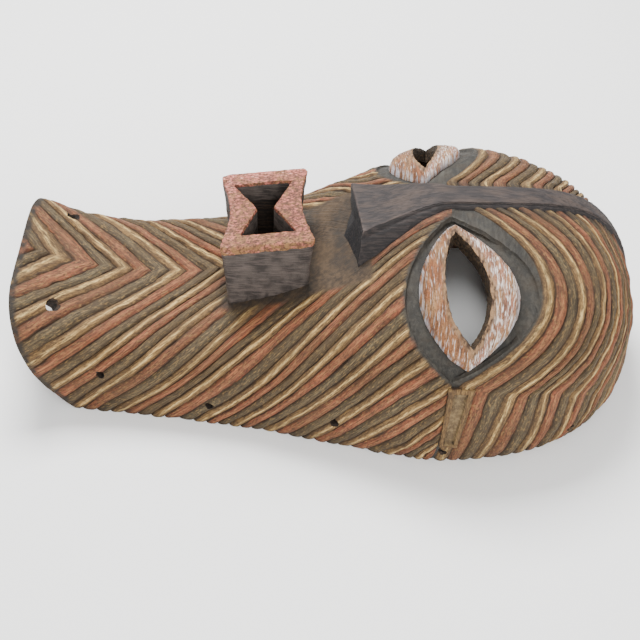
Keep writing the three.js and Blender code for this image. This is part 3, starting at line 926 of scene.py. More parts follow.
    def chipped(self, bare: Array) -> Array:
        """Depth of knocks and chips: round dents at random places, deepest in their middles.

        A dent's depth falls with the bell curve of the distance from its middle.

        Args:
            bare: Places of the bare face.

        Returns:
            Depth at each place.
        """
        rng = np.random.default_rng(self.chip_seed)
        station = rng.uniform(*self.chip_stations, self.chips)
        girth = rng.uniform(*self.chip_girths, self.chips)
        side = rng.choice([NEAR, FAR], self.chips)
        radius = rng.uniform(*self.chip_radii, self.chips)
        depth = rng.uniform(*self.chip_depths, self.chips)
        total = np.zeros(bare.shape[:-1])
        for sign in (NEAR, FAR):
            centres = FACE.at(station, girth, sign)
            for k in np.flatnonzero(side == sign):
                square = ((bare - centres[k]) ** 2).sum(-1)
                total += depth[k] * np.exp(-square / radius[k] ** 2)
        return total

    def tones(self, station: Array, girth: Array) -> Array:
        """Shares of plain ground, soot with painted shade, and border paint, from distances in the chart.

        Painted shade fades with the bell curve of the distance from the mouth and the nose, and the
        darkening towards the rim with that of the distance from the rim.

        Args:
            station: Stations.
            girth: Girths, of the same shape.

        Returns:
            The three shares at each place.
        """
        left, right, half = self.mouth_foot
        beside = np.maximum(np.maximum(left - station, station - right), 0)
        from_mouth = np.hypot(beside, np.maximum(girth - half, 0))
        nose_foot = np.interp(station, self.nose_stations, self.nose_girths)
        from_nose = np.hypot(np.maximum(self.nose_tip - station, 0), np.maximum(girth - nose_foot, 0))
        from_chin = station - FACE.chin_edge(girth)
        forward = np.maximum(station - FACE.brow, 0)
        reach = np.where(forward > 0, np.hypot(forward, girth), girth)
        from_rim = np.where(forward > 0, FACE.crown_girth, FACE.rim_girth(station)) - reach
        # Painted shade round the mouth and the nose, and a darkening towards the rim.
        places = ((self.mouth_shade, from_mouth), (self.nose_shade, from_nose), (self.rim_darkening, from_rim))
        faded = [most * np.exp(-((distance / fade) ** 2)) for (most, fade), distance in places]
        edge, width = self.chin_soot
        soot_and_shade = np.maximum.reduce([*faded, eased(1 - (from_chin - edge) / width)])
        edge, width = self.border_edge
        border = eased(1 - (SOCKET.outside(station, girth) - edge) / width)
        return np.stack([self.plain_share(station, girth), soot_and_shade, border], -1)

    def eye_patch(self, skin: Skin, side: int, cheek: tuple, brow: tuple) -> Array:
        """Add the lens between the eye line and the first brow line, most of it cut away later.

        Args:
            skin: Skin that takes the patch.
            side: NEAR or FAR.
            cheek: Rows, chart places and counts of the cheek.
            brow: Rows, chart places and counts of the brow.

        Returns:
            Vertex numbers down the rim between the cheek and the brow.
        """
        rows, (_, girth), counts = cheek
        on_line = counts >= self.cheek.root_count - 1e-9
        edge_station, edge_girth = brow[1][0][0], brow[1][1][0]
        share = np.linspace(0, 1, self.eye_rows + 2)[1:-1, None]
        line = self.cheek.eye_line(edge_girth)
        station = line + share * (edge_station - line)
        across = np.broadcast_to(edge_girth, station.shape)
        carved_at = FACE.drifted(station, across, side)
        points = self.carved(carved_at, across, side, np.full(station.shape, -self.groove))
        points[:, -1, 2] = 0
        lens = skin.sheet(points, Zone.BORDER)
        skin.zipper(rows[on_line, 0], lens[0], (girth[on_line, 0], edge_girth), Zone.BORDER)
        skin.zipper(lens[-1], brow[0][0], (edge_girth, edge_girth), Zone.BORDER)
        return lens[:, -1]

    def inner_wall(self, skin: Skin, side: int) -> tuple:
        """Add the hollow's wall, with the broad marks that an adze leaves, fading towards the rim.

        Args:
            skin: Skin that takes the wall.
            side: NEAR or FAR.

        Returns:
            Vertex numbers along the inner rim, and their distances along the rim.
        """
        body, crown = self.wall_rows
        share = np.linspace(0, 1, self.wall_steps)[None]
        column = np.linspace(0, 1, body)[:, None]
        edge = FACE.chin_edge(share * FACE.side_girth)
        station = edge + (FACE.brow - edge) * column
        girth = share * FACE.rim_girth(station)
        turn = np.linspace(np.pi / 2, 0, crown)[1:, None]
        reach = share * FACE.crown_girth
        station = np.concatenate([station, FACE.brow + reach * np.cos(turn)])
        girth = np.concatenate([girth, reach * np.sin(turn)])
        girth = np.where(girth < 1e-6, 0, girth)
        bare = FACE.at(station, girth, side)
        # The marks fade out over the last sixth of the way down and over 6 mm from the chin's end
        fade = np.minimum(1, 6 * (1 - share)) * np.minimum(1, 10 * np.maximum(station - edge, 0) / 60)
        marks = uneven(bare, self.adze_waves) * fade
        points = FACE.lifted(station, girth, side, -FACE.wall + marks)
        points[:, -1, 2] = 0
        rows = skin.sheet(points, Zone.INSIDE)
        corner = float(FACE.chin_edge(np.array(FACE.side_girth)))
        down = share[0] * FACE.side_girth
        along = FACE.side_girth + station[1:body, -1] - corner
        circle = FACE.side_girth + FACE.brow - corner + (np.pi / 2 - turn[:, 0]) * FACE.crown_girth
        rim = np.concatenate([rows[0], rows[1:body, -1], rows[body:, -1]])
        return rim, np.concatenate([down, along, circle])

    def build(self, finishes: list) -> bpy.types.Object:
        """Make the shell.

        Args:
            finishes: Materials in the order of the zones.

        Returns:
            The shell's object.
        """
        skin = Skin()
        for side in (NEAR, FAR):
            cheek = self.stripes_patch(skin, side, is_brow=False)
            brow = self.stripes_patch(skin, side, is_brow=True)
            eye_rim = self.eye_patch(skin, side, cheek, brow)
            cheek_ends = np.interp(cheek[2], self.cheek.counts, self.cheek.ends)
            brow_ends = np.interp(brow[2], self.brow.counts, self.brow.ends)
            between = np.linspace(cheek_ends[-1], brow_ends[0], self.eye_rows + 2)[1:-1]
            outer = np.concatenate([cheek[0][:, -1], eye_rim, brow[0][:, -1]])
            outer_at = np.concatenate([cheek_ends, between, brow_ends])
            inner, inner_at = self.inner_wall(skin, side)
            skin.zipper(outer, inner, (outer_at, inner_at), Zone.BORE)
        return skin.made("carved_mask", finishes)


@dataclass
class NoseAndCrest:
    """One ridge down the middle, wide at the nose's tip, with a ledge under its flat top.

    The rings that close the front face are shares of its size. Walls lower than the full rise
    bulge less.
    """

    stations: tuple = (30, 45, 60, 75, 90, 112, 150, 190, 230, 270, 300, 320)
    foot_girths: tuple = (42, 37, 32, 27, 22, 13, 12.5, 12, 11.5, 10.5, 9, 7)
    top_half_widths: tuple = (35, 30, 25.5, 21, 17, 12, 11.5, 11, 10.5, 9.5, 8, 6)
    rises: tuple = (30, 23.5, 17.5, 12, 8, 5.5, 5, 5, 4.5, 4, 3, 1)
    camber: float = 0.6
    front_lean: float = 13
    skew: float = 5
    buried: float = 6
    wall_shares: tuple = (0, 0.12, 0.28, 0.45, 0.6, 0.7, 0.77, 0.82, 0.87, 0.93)
    wall_pushes: tuple = (0, 0.5, 1.0, 1.4, 1.5, 1.4, 1.1, -0.7, -0.5, -0.1)
    edge_radius: float = 1.1
    edge_ins: tuple = (0, 0.27, 1)
    edge_downs: tuple = (0.85, 0.23, 0)
    front_starts: tuple = (0, 0.2, 0.5, 0.9)
    front_rings: tuple = (0.1, 0.3, 0.5, 0.7, 0.88, 0.97)
    sections: int = 104
    sections_from: float = 2.5
    full_rise: float = 9
    top_columns: int = 15
    foot_columns: int = 5
    roughness: float = 0.13
    seed: int = 41

    def sizes(self, station: Array) -> tuple:
        """Sizes of the ridge, on straight lines between its stations and rounded down at the tip.

        Args:
            station: Station of each section.

        Returns:
            The foot's girth, the top's half width, the rise and the share of the tip's slant.
        """
        foot, half, rise = (
            np.interp(station, self.stations, sizes)
            for sizes in (self.foot_girths, self.top_half_widths, self.rises)
        )
        from_tip = (station - self.stations[0]) / self.edge_radius
        rise = rise - self.edge_radius * np.maximum(1 - from_tip, 0) ** 2
        return foot, half, rise, np.interp(station, self.stations[:2], [1, 0])

    def wall(self, side: int, station: Array) -> tuple:
        """One side's wall, with the rounded edge of the top over it.

        A place on the wall lies a share of the way from the foot to the top's corner, and is
        pushed out sideways. The edge steps in and down from the corner.

        Args:
            side: NEAR or FAR.
            station: Station of each section.

        Returns:
            Places of the wall and the edge, by section, and places of the foot.
        """
        foot, half, rise, tip = self.sizes(station)
        middle = 0 * station
        base, up = FACE.at(station, middle, NEAR), FACE.outward(station, middle, NEAR)
        aside = FACE.at(station, half, FAR) - FACE.at(station, half, NEAR)
        aside /= np.linalg.norm(aside, axis=1, keepdims=True)
        lean = tip * (1 if side == NEAR else 1 - self.skew)
        low = FACE.lifted(station + lean, foot, side, middle - self.buried)
        corner = base + up * (rise - self.camber)[:, None]
        corner[:, 0] -= side * self.skew * tip
        corner += side * half[:, None] * aside
        pushes = np.array(self.wall_pushes)[None] * np.minimum(1, rise / self.full_rise)[:, None]
        wall = low[:, None] + np.array(self.wall_shares)[None, :, None] * (corner - low)[:, None]
        wall[..., 1] += side * pushes
        edge = np.repeat(corner[:, None], len(self.edge_ins), axis=1)
        edge[..., 1] -= side * self.edge_radius * np.array(self.edge_ins)
        edge -= up[:, None] * (self.edge_radius * np.array(self.edge_downs))[:, None]
        return np.concatenate([wall, edge], axis=1), low

    def add_to(self, skin: Skin) -> None:
        """Add the ridge as sections of wall, rounded edge and top, in a loft along the midline.

        Its tone is 1 on the front face, then 1 on the walls and 0 on the top and its edges; the paint
        darkens the front face and the walls as painted shade.

        Args:
            skin: Skin that takes the solid.
        """
        first, last = self.stations[0], self.stations[-1]
        near_front = first + self.edge_radius * np.array(self.front_starts)
        further = np.linspace(first + self.sections_from, last, self.sections)
        station = np.concatenate([near_front, further])
        (near_wall, near_foot), (far_wall, far_foot) = (self.wall(s, station) for s in (NEAR, FAR))
        middle, tip = 0 * station, self.sizes(station)[-1]
        bottom = FACE.lifted(station - tip * self.front_lean, middle, NEAR, middle - self.buried)
        across = np.linspace(-1, 1, self.top_columns)[None, 1:-1, None]
        near_edge, far_edge = near_wall[:, -1:], far_wall[:, -1:]
        top = (near_edge + far_edge) / 2 + across * (far_edge - near_edge) / 2
        top += (FACE.outward(station, middle, NEAR) * self.camber)[:, None] * (1 - across**2)
        down = np.linspace(0, 1, self.foot_columns)[None, 1:, None]
        under_far = far_foot[:, None] + down * (bottom - far_foot)[:, None]
        under_near = bottom[:, None] + down[:, :-1] * (near_foot - bottom)[:, None]
        loops = np.concatenate([near_wall, top, far_wall[:, ::-1], under_far, under_near], axis=1)
        centre = loops[0].mean(axis=0)
        shrink = np.array(self.front_rings)[:, None, None]
        loops = np.concatenate([centre + shrink * (loops[:1] - centre), loops])
        loops = roughened(loops, self.roughness, self.seed)
        loops[..., 2] = np.maximum(loops[..., 2], 0)
        # Tone marks the front face and the walls, which the paint darkens as painted shade.
        tone = np.zeros(loops.shape)
        tone[: len(shrink) + 1, :, 0] = 1
        tone[:, : near_wall.shape[1] - 2, 1] = 1
        tone[:, near_wall.shape[1] + top.shape[1] + 2 :, 1] = 1
        loft(skin, loops, (Zone.NOSE, Zone.NOSE, Zone.NOSE), tone=tone)


@dataclass
class Mouth:
    """Bow-tie tube that stands out from the chin, open right through.

    Dabs and bare corners are given by how far they reach in from a side and how wide they fade.
    """

    left: float = -94
    right: float = -9.5
    half_width: float = 53.5
    waist: float = 10
    rounding: float = 1.7
    skews: tuple = (2.4, 4.6)
    top: float = 164.5
    slope: float = 0.14
    flare: float = 5
    hole_left: float = -78
    hole_right: float = -26.5
    hole_half_width: float = 36
    hole_waist: float = 18.5
    hole_skews: tuple = (5, 2.8)
    hole_insets: tuple = (3, 1.6, 0.7, 0.2, -0.3, -1.2, -1.6)
    hole_rises: tuple = (-50, -20, -3, -1.3, 0.3, 30)
    hole_floor: float = 40
    buried: float = 8
    bulge: float = 0.9
    wall_rings: int = 12
    wall_gap: float = 1.6
    edge_insets: tuple = (0.3, 0.9, 2, 6, 11)
    edge_drops: tuple = (0.75, 0.25, 0, 0.35, 0.5)
    pink_bands: int = 6
    chin_dabs: tuple = (16, 14)
    far_dabs: tuple = (14, 12)
    bare_corners: tuple = (15, 12)

    @staticmethod
    def bow_tie(
        sides: tuple, half: float, waist: float, power: float, skews: tuple, inset: Array
    ) -> tuple:
        """Closed loops in plan, with a waist on each long side and straight ends.

        Along a long side, the place moves in by the waist times 1 minus a power of the distance
        from the middle.

        Args:
            sides: Stations of the two long sides.
            half: Half the width across the mask.
            waist: How far each long side is drawn in.
            power: 1 for an angular waist, more for a round one.
            skews: Slants of the chin side and the crown side.
            inset: How far each loop lies inside the outline.

        Returns:
            The loops' x and y.
        """
        share = np.linspace(-1, 1, 41)[None]
        inset = np.asarray(inset, float)[:, None]
        sway = waist * (1 - np.abs(share) ** power)
        across = share * (half - inset)
        right = sides[1] - inset - sway - skews[1] * share
        left = (sides[0] + inset + sway - skews[0] * share)[:, ::-1]
        ends = np.linspace(0, 1, 24)[None, 1:-1]
        far = right[:, -1:] + ends * (left[:, :1] - right[:, -1:])
        near = left[:, -1:] + ends * (right[:, :1] - left[:, -1:])
        x = np.concatenate([right, far, left, near], axis=1)
        flat = np.ones_like(ends)
        y = np.concatenate([across, flat * across[:, -1:], across[:, ::-1], flat * across[:, :1]], axis=1)
        return x, y

    def mouth_top(self, x: Array) -> Array:
        """Height of the tube's top, which slopes up to the crown side."""
        return self.top + self.slope * (x - (self.left + self.right) / 2)

    @staticmethod
    def rounded(x: Array, passes: int) -> Array:
        """Soften the corners of loops: average each value with its two neighbours, again and again.

        Args:
            x: Values of the loops, one loop to a row.
            passes: How often they are averaged.

        Returns:
            The softened values.
        """
        for _ in range(passes):
            x = (np.roll(x, 1, axis=1) + 2 * x + np.roll(x, -1, axis=1)) / 4
        return x

    def add_to(self, skin: Skin) -> None:
        """Add the tube as a solid: walls that flare to the foot, a rounded edge and a flat top.

        Args:
            skin: Skin that takes the solid.
        """
        rings = self.wall_rings
        up = np.linspace(0, 1, rings)
        wall_inset = self.flare * (1 - up) + self.bulge * np.sin(np.pi * up)
        inset = np.concatenate([wall_inset, self.edge_insets])
        sides = (self.left, self.right)
        x, y = self.bow_tie(sides, self.half_width, self.waist, self.rounding, self.skews, inset)
        x, y = self.rounded(x, 4), self.rounded(y, 4)
        low, high = FACE.top(x) - self.buried, self.mouth_top(x)
        wall = low[:rings] + up[:, None] * (high[:rings] - self.wall_gap - low[:rings])
        z = np.concatenate([wall, high[rings:] - np.array(self.edge_drops)[:, None]])
        loops = roughened(np.stack([x, y, z], axis=-1), amount=0.28, seed=51)
        dark_bands = len(inset) - 1 - self.pink_bands
        bands = [Zone.MOUTH_WALL] * dark_bands + [Zone.MOUTH_TOP] * self.pink_bands
        (chin_reach, chin_fade), (far_reach, far_fade) = self.chin_dabs, self.far_dabs
        on_chin_side = eased((self.left + chin_reach - x) / chin_fade)
        dabbed = np.maximum(on_chin_side, eased((y - self.half_width + far_reach) / far_fade))
        reach, fade = self.bare_corners
        tone = np.stack([dabbed, eased((-y - self.half_width + reach) / fade), 0 * x], axis=-1)
        loft(skin, loops, (Zone.MOUTH_WALL, bands, Zone.MOUTH_TOP), tone=tone)

    def cut_from(self, skin: Skin) -> None:
        """Add the tool for the hole: an angular bow-tie that narrows to the hollow.

        Args:
            skin: Skin that takes the tool.
        """
        sides = (self.hole_left, self.hole_right)
        half, waist, skews = self.hole_half_width, self.hole_waist, self.hole_skews
        x, y = self.bow_tie(sides, half, waist, 1, skews, self.hole_insets)
        x, y = self.rounded(x, 2), self.rounded(y, 2)
        high = self.mouth_top(x)
        risen = high[1:] + np.array(self.hole_rises)[:, None]
        z = np.concatenate([np.full_like(high[:1], self.hole_floor), risen])
        loops = roughened(np.stack([x, y, z], axis=-1), amount=0.22, seed=61)
        # The deep bands of the hole take the near-black bore finish, as painted shade deep in the hole.
        bands = [Zone.BORE] * 2 + [Zone.MOUTH_WALL] + [Zone.MOUTH_TOP] * 3
        loft(skin, loops, (Zone.BORE, bands, Zone.MOUTH_TOP))


@dataclass
class Eyes:
    """Sunk sockets, bulging lids and the slits between the lids.

    A ring gives a share of an outline's size and a height over the face. An edge gives a distance
    from an outline and the width of its fade.
    """

    socket_rings: tuple = ((1.012, 14), (1.006, 1.6), (0.998, -1), (0.985, -3), (0.965, -4.2))
    floor_rings: tuple = ((1.12, -6), (1.02, -7), (0.7, -7.5), (0.35, -7.5))
    lid_root: float = -10
    lid_shares: tuple = (1, 0.985, 0.965, 0.94, 0.905, 0.87, 0.83, 0.78, 0.72, 0.65, 0.57, 0.48, 0.4, 0.3)
    lid_heights: tuple = (-6.5, -4.5, -2.8, -1.3, 0.6, 2.2, 3.4, 4.3, 4.85, 5, 4.8, 4.5, 4.1, 3.7)
    slit_rings: tuple = ((1, 16), (1, 3.5), (0.985, 1), (0.98, -5), (0.97, -24))
    root_shares: tuple = (0.35, 0.7, 1)
    edge: tuple = (1.8, 1.2)
    outer_edge: tuple = (3.5, 2.5)
    far_bulge: float = 0.2

    def loops(self, side: int, rings: list) -> tuple:
        """Loops of places lifted off the face.

        Args:
            side: NEAR or FAR.
            rings: Outline, share of its size and height of each loop.

        Returns:
            The loops, their stations and their girths.
        """
        charts = [lens.outline(share) for lens, share, _ in rings]
        station = np.stack([chart[0] for chart in charts])
        girth = np.stack([chart[1] for chart in charts])
        height = np.array([ring[2] for ring in rings])[:, None] + 0 * station
        return FACE.lifted(FACE.drifted(station, girth, side), girth, side, height), station, girth

    def sockets(self, skin: Skin, side: int) -> None:
        """Add the tool for a socket, deepest in a channel beside the lids.

        Args:
            skin: Skin that takes the tool.
            side: NEAR or FAR.
        """
        rings = [(SOCKET, *ring) for ring in self.socket_rings]
        rings += [(LIDS, *ring) for ring in self.floor_rings]
        points, _, _ = self.loops(side, rings)
        loft(skin, roughened(points, amount=0.2, seed=71), (Zone.BORDER,) * 3)

    def lids(self, skin: Skin, side: int) -> None:
        """Add the lids of one eye, whole until the slit is cut.

        Args:
            skin: Skin that takes the solid.
            side: NEAR or FAR.
        """
        bulge = 1 if side == NEAR else self.far_bulge
        rings = [(LIDS, share, self.lid_root) for share in self.root_shares]
        for share, height in zip(self.lid_shares, self.lid_heights):
            rings.append((LIDS, share, height * bulge if height > 0 else height))
        points, station, girth = self.loops(side, rings)
        flow = np.stack([station - LIDS.station, side * girth, 0 * girth], -1) * MM
        (width, fade), (outer_width, outer_fade) = self.edge, self.outer_edge
        edge = eased(1 - (SLIT.outside(station, girth) - width) / fade)
        outer = eased((LIDS.outside(station, girth) + outer_width) / outer_fade)
        tone = np.stack([edge, outer, (station > LIDS.axis(girth)).astype(float)], -1)
        rough = roughened(points, amount=0.2, seed=81)
        loft(skin, rough, (Zone.LID,) * 3, flow=flow, tone=tone)

    def slits(self, skin: Skin, side: int) -> None:
        """Add the tool that opens one eye into the hollow."""
        points, _, _ = self.loops(side, [(SLIT, *ring) for ring in self.slit_rings])
        loft(skin, roughened(points, amount=0.3, seed=91), (Zone.SLIT,) * 3)


@dataclass
class Ears:
    """Small raised frames with a sunk panel, below the outer corner of each eye."""

    top: tuple = (118, 139)
    bottom: tuple = (114.5, 195)
    half_width: float = 8
    frame: float = 4
    rise: float = 2.6
    panel_depth: float = 1
    root: float = 5
    steps_down: int = 22
    steps_across: int = 8
    frame_stripe: float = 2.2

    def slab(self, skin: Skin, side: int, rings: list, zone: Zone, stripe: float) -> None:
        """Add a slab over the ear's outline, or a smaller one inside it.

        Args:
            skin: Skin that takes the solid.
            side: NEAR or FAR.
            rings: Inset and height of each loop.
            zone: Finish of the slab.
            stripe: Stripe whose paint it has.
        """
        length = self.bottom[1] - self.top[1]
        inset = np.array([ring[0] for ring in rings])[:, None]
        down = np.linspace(0, 1, self.steps_down)[None]
        across = np.linspace(1, -1, self.steps_across)[None, 1:-1]
        side_down = inset + down * (length - 2 * inset)
        along = np.concatenate(
            [side_down, length - inset + 0 * across, side_down[:, ::-1], inset + 0 * across], axis=1
        )
        width = self.half_width - inset
        level = 0 * down
        out = np.concatenate([width + level, width * across, -width + level, -width * across], axis=1)
        station = self.top[0] + along / length * (self.bottom[0] - self.top[0]) + out
        girth = self.top[1] + along
        height = np.array([ring[1] for ring in rings])[:, None] + 0 * station
        carved_at = FACE.drifted(station, girth, side)
        lifted = FACE.lifted(carved_at, girth, side, height)
        points = roughened(lifted, amount=0.2, seed=101)
        flow = np.stack([side * girth, station, 0 * girth], -1) * MM
        loft(skin, points, (zone,) * 3, stripe=stripe + 0 * station, flow=flow)

    def add_to(self, skin: Skin, side: int) -> None:
        """Add the frame's slab, which carries the paint of one stripe.

        Args:
            skin: Skin that takes the solid.
            side: NEAR or FAR.
        """
        rise = self.rise
        rings = [(0, -self.root), (0, rise - 1), (0.3, rise - 0.35), (1, rise), (self.frame - 0.5, rise)]
        self.slab(skin, side, rings, Zone.STRIPES, self.frame_stripe)

    def cut_from(self, skin: Skin, side: int) -> None:
        """Add the tool for the sunk panel, whose walls slope in.

        Args:
            skin: Skin that takes the tool.
            side: NEAR or FAR.
        """
        frame, depth = self.frame, self.panel_depth
        rings = [(frame - 0.6, 9), (frame - 0.3, self.rise - 0.2), (frame, 0.5), (frame + 0.6, -depth)]
        self.slab(skin, side, rings, Zone.PANEL, 0)


@dataclass
class CordHoles:
    """Burnt holes near the edge, for the cords that hold the costume.

    A ring gives a height over the face and a share of the hole's radius.
    """

    stations: tuple = (-243, -199, -100, 14, 111, 230)
    girths: tuple = (68, 131, 161, 172, 206, 165)
    radii: tuple = (5.5, 3.5, 3.5, 3.5, 3.5, 3.5)
    leans: tuple = (0.75, 0, 0, 0, 0, 0)
    rings: tuple = ((-19, 1), (-11, 1.08), (-2, 0.98), (0.6, 1.06), (1.6, 1.25), (8, 1.5))
    sides: int = 18

    def cut_from(self, skin: Skin, side: int) -> None:
        """Add the tools for one side's holes: tubes square to the face, wider at the mouth.

        Args:
            skin: Skin that takes the tools.
            side: NEAR or FAR.
        """
        angle = np.arange(self.sides) * 2 * np.pi / self.sides
        height, scale = np.array(self.rings).T[:, :, None, None]
        for station, girth, radius, lean in zip(self.stations, self.girths, self.radii, self.leans):
            up = FACE.outward(station, girth, side) + [lean, 0, 0]
            up /= np.linalg.norm(up)
            across = np.array([1.0, 0, 0]) - up[0] * up
            across /= np.linalg.norm(across)
            ring = np.cos(angle)[:, None] * across + np.sin(angle)[:, None] * np.cross(up, across)
            loops = FACE.at(station, girth, side) + height * up + scale * radius * ring
            rough = roughened(loops, amount=0.3, seed=111, size=8)
            loft(skin, rough, (Zone.BORE,) * 3)


def srgb(code: str) -> tuple:
    """Linear colour of an sRGB hex code, by the standard's straight foot and power curve.

    Args:
        code: Hex code with a leading hash.

    Returns:
        Linear red, green, blue and alpha.
    """
    parts = np.array([int(code[k : k + 2], 16) for k in (1, 3, 5)]) / 255
    linear = np.where(parts <= 0.04045, parts / 12.92, ((parts + 0.055) / 1.055) ** 2.4)
    return (*linear.tolist(), 1.0)


def add_node(
    tree: bpy.types.NodeTree, kind: str, inputs: dict, output: int = 0, **settings: object
) -> Socket | None:
    """Add a shader node, with its settings and links.

    Args:
        tree: Node tree that takes the node.
        kind: The node's type, without its leading word.
        inputs: Each input's linked socket, colour code or plain value, by name or number.
        output: Number of the output that is returned.
        **settings: The node's properties.

    Returns:
        The output's socket, or None where the node has no outputs.
    """
    node = tree.nodes.new("ShaderNode" + kind)
    for name, value in settings.items():
        setattr(node, name, value)
    for name, value in inputs.items():
        if isinstance(value, Socket):
            tree.links.new(value, node.inputs[name])
        else:
            node.inputs[name].default_value = srgb(value) if isinstance(value, str) else value
    return node.outputs[output] if len(node.outputs) else None


class Ground(Enum):
    """What a pattern follows."""

    BLOCK = "block"
    STRIPE = "stripe"


@dataclass
class Palette:
    """Node tree of one finish, and the ways to lay patterns and paints over the carving.

    Each pattern is moved on from the one before by the drift steps, so that no two coincide.
    """

    tree: bpy.types.NodeTree
    drift: int = 0
    drift_steps: tuple = (3.7, 1.9, 5.3)
    noise_spread: float = 0.26

    def tones(self) -> tuple:
        """Three shares that the carving carries as its tone."""
        tone = add_node(self.tree, "Attribute", {}, 1, attribute_name="tone")
        return tuple(add_node(self.tree, "SeparateXYZ", {0: tone}).node.outputs)

    def bent(self, low: float, high: float, most: float = 1) -> Socket:
        """Share that grows with the carving's bend, which is above 0 on edges and below in hollows.

        Args:
            low: Bend at which the share starts.
            high: Bend at which it is full.
            most: The full share.

        Returns:
            The share.
        """
        bend = add_node(self.tree, "Attribute", {}, 2, attribute_name="bend")
        span = {0: bend, 1: low, 2: high, 4: most}
        return add_node(self.tree, "MapRange", span, interpolation_type="SMOOTHSTEP")

    def patches(
        self, size: object, cover: float, soft: float = 0.08, ground: Ground = Ground.BLOCK,
        detail: float = 3, turn: tuple = (0, 0, 0),
    ) -> Socket:
        """Cloudy patches.

        Args:
            size: Usual size of a patch in millimetres, one number or one for each axis.
            cover: Share of the ground that is covered, roughly.
            soft: Width of a patch's edge in the noise's values.
            ground: Whether the pattern follows the block or the stripes.
            detail: Finer layers of the noise.
            turn: Turn of the pattern about the axes.

        Returns:
            1 inside the patches and 0 outside them.
        """
        self.drift += 1
        sizes = size if isinstance(size, tuple) else (size, size, size)
        where = (
            add_node(self.tree, "Attribute", {}, 1, attribute_name="flow")
            if ground is Ground.STRIPE
            else add_node(self.tree, "TexCoord", {}, 3)
        )
        placed = add_node(self.tree, "Mapping", {
            0: where, 1: tuple(self.drift * step for step in self.drift_steps), 2: turn,
            3: tuple(1 / (MM * s) for s in sizes),
        })
        noise = add_node(self.tree, "TexNoise", {"Vector": placed, "Scale": 1.0, "Detail": detail})
        middle = 0.5 + self.noise_spread * (0.5 - cover)
        span = {0: noise, 1: middle - soft, 2: middle + soft}
        return add_node(self.tree, "MapRange", span, interpolation_type="SMOOTHSTEP")

    def layered(self, base: object, *layers: tuple) -> Socket:
        """Lay paints and dirt over one another.

        Args:
            base: Colour underneath.
            *layers: For each layer one or more shares, which are multiplied, and its colour.

        Returns:
            The colour that shows.
        """
        for share, *others, colour in layers:
            for other in others:
                share = add_node(self.tree, "Math", {0: share, 1: other}, operation="MULTIPLY")
            base = add_node(self.tree, "Mix", {0: share, 6: base, 7: colour}, 2, data_type="RGBA")
        return base

    def stacked(self, *heights: tuple) -> Socket:
        """Add reliefs up.

        Args:
            *heights: Pattern of each relief and its depth in millimetres.

        Returns:
            The height in millimetres.
        """
        total = 0
        for pattern, depth in heights:
            total = add_node(
                self.tree, "Math", {0: pattern, 1: depth, 2: total}, operation="MULTIPLY_ADD"
            )
        return total


@dataclass(frozen=True)
class Finish:
    """A finish of the carving, which paints one material."""

    name: str = ""
    roughness: float = 0.8
    specular: float = 0.35

    def paint(self, palette: Palette) -> tuple:
        """Lay out the colour and the fine relief.

        Args:
            palette: Palette of the material's node tree.

        Returns:
            Colour, and height of the fine relief in millimetres.
        """
        raise NotImplementedError

    def material(self) -> bpy.types.Material:
        """Make the material.

        Returns:
            The material, with its colour, gloss and bump.
        """
        material = bpy.data.materials.new(self.name)
        material.use_nodes = True
        tree = material.node_tree
        tree.nodes.clear()
        colour, height = self.paint(Palette(tree))
        bump = add_node(tree, "Bump", {"Strength": 1.0, "Distance": MM, "Height": height})
        shader = add_node(tree, "BsdfPrincipled", {
            "Base Color": colour, "Roughness": self.roughness, "Specular IOR Level": self.specular,
            "Normal": bump,
        })
        add_node(tree, "OutputMaterial", {0: shader})
        return material


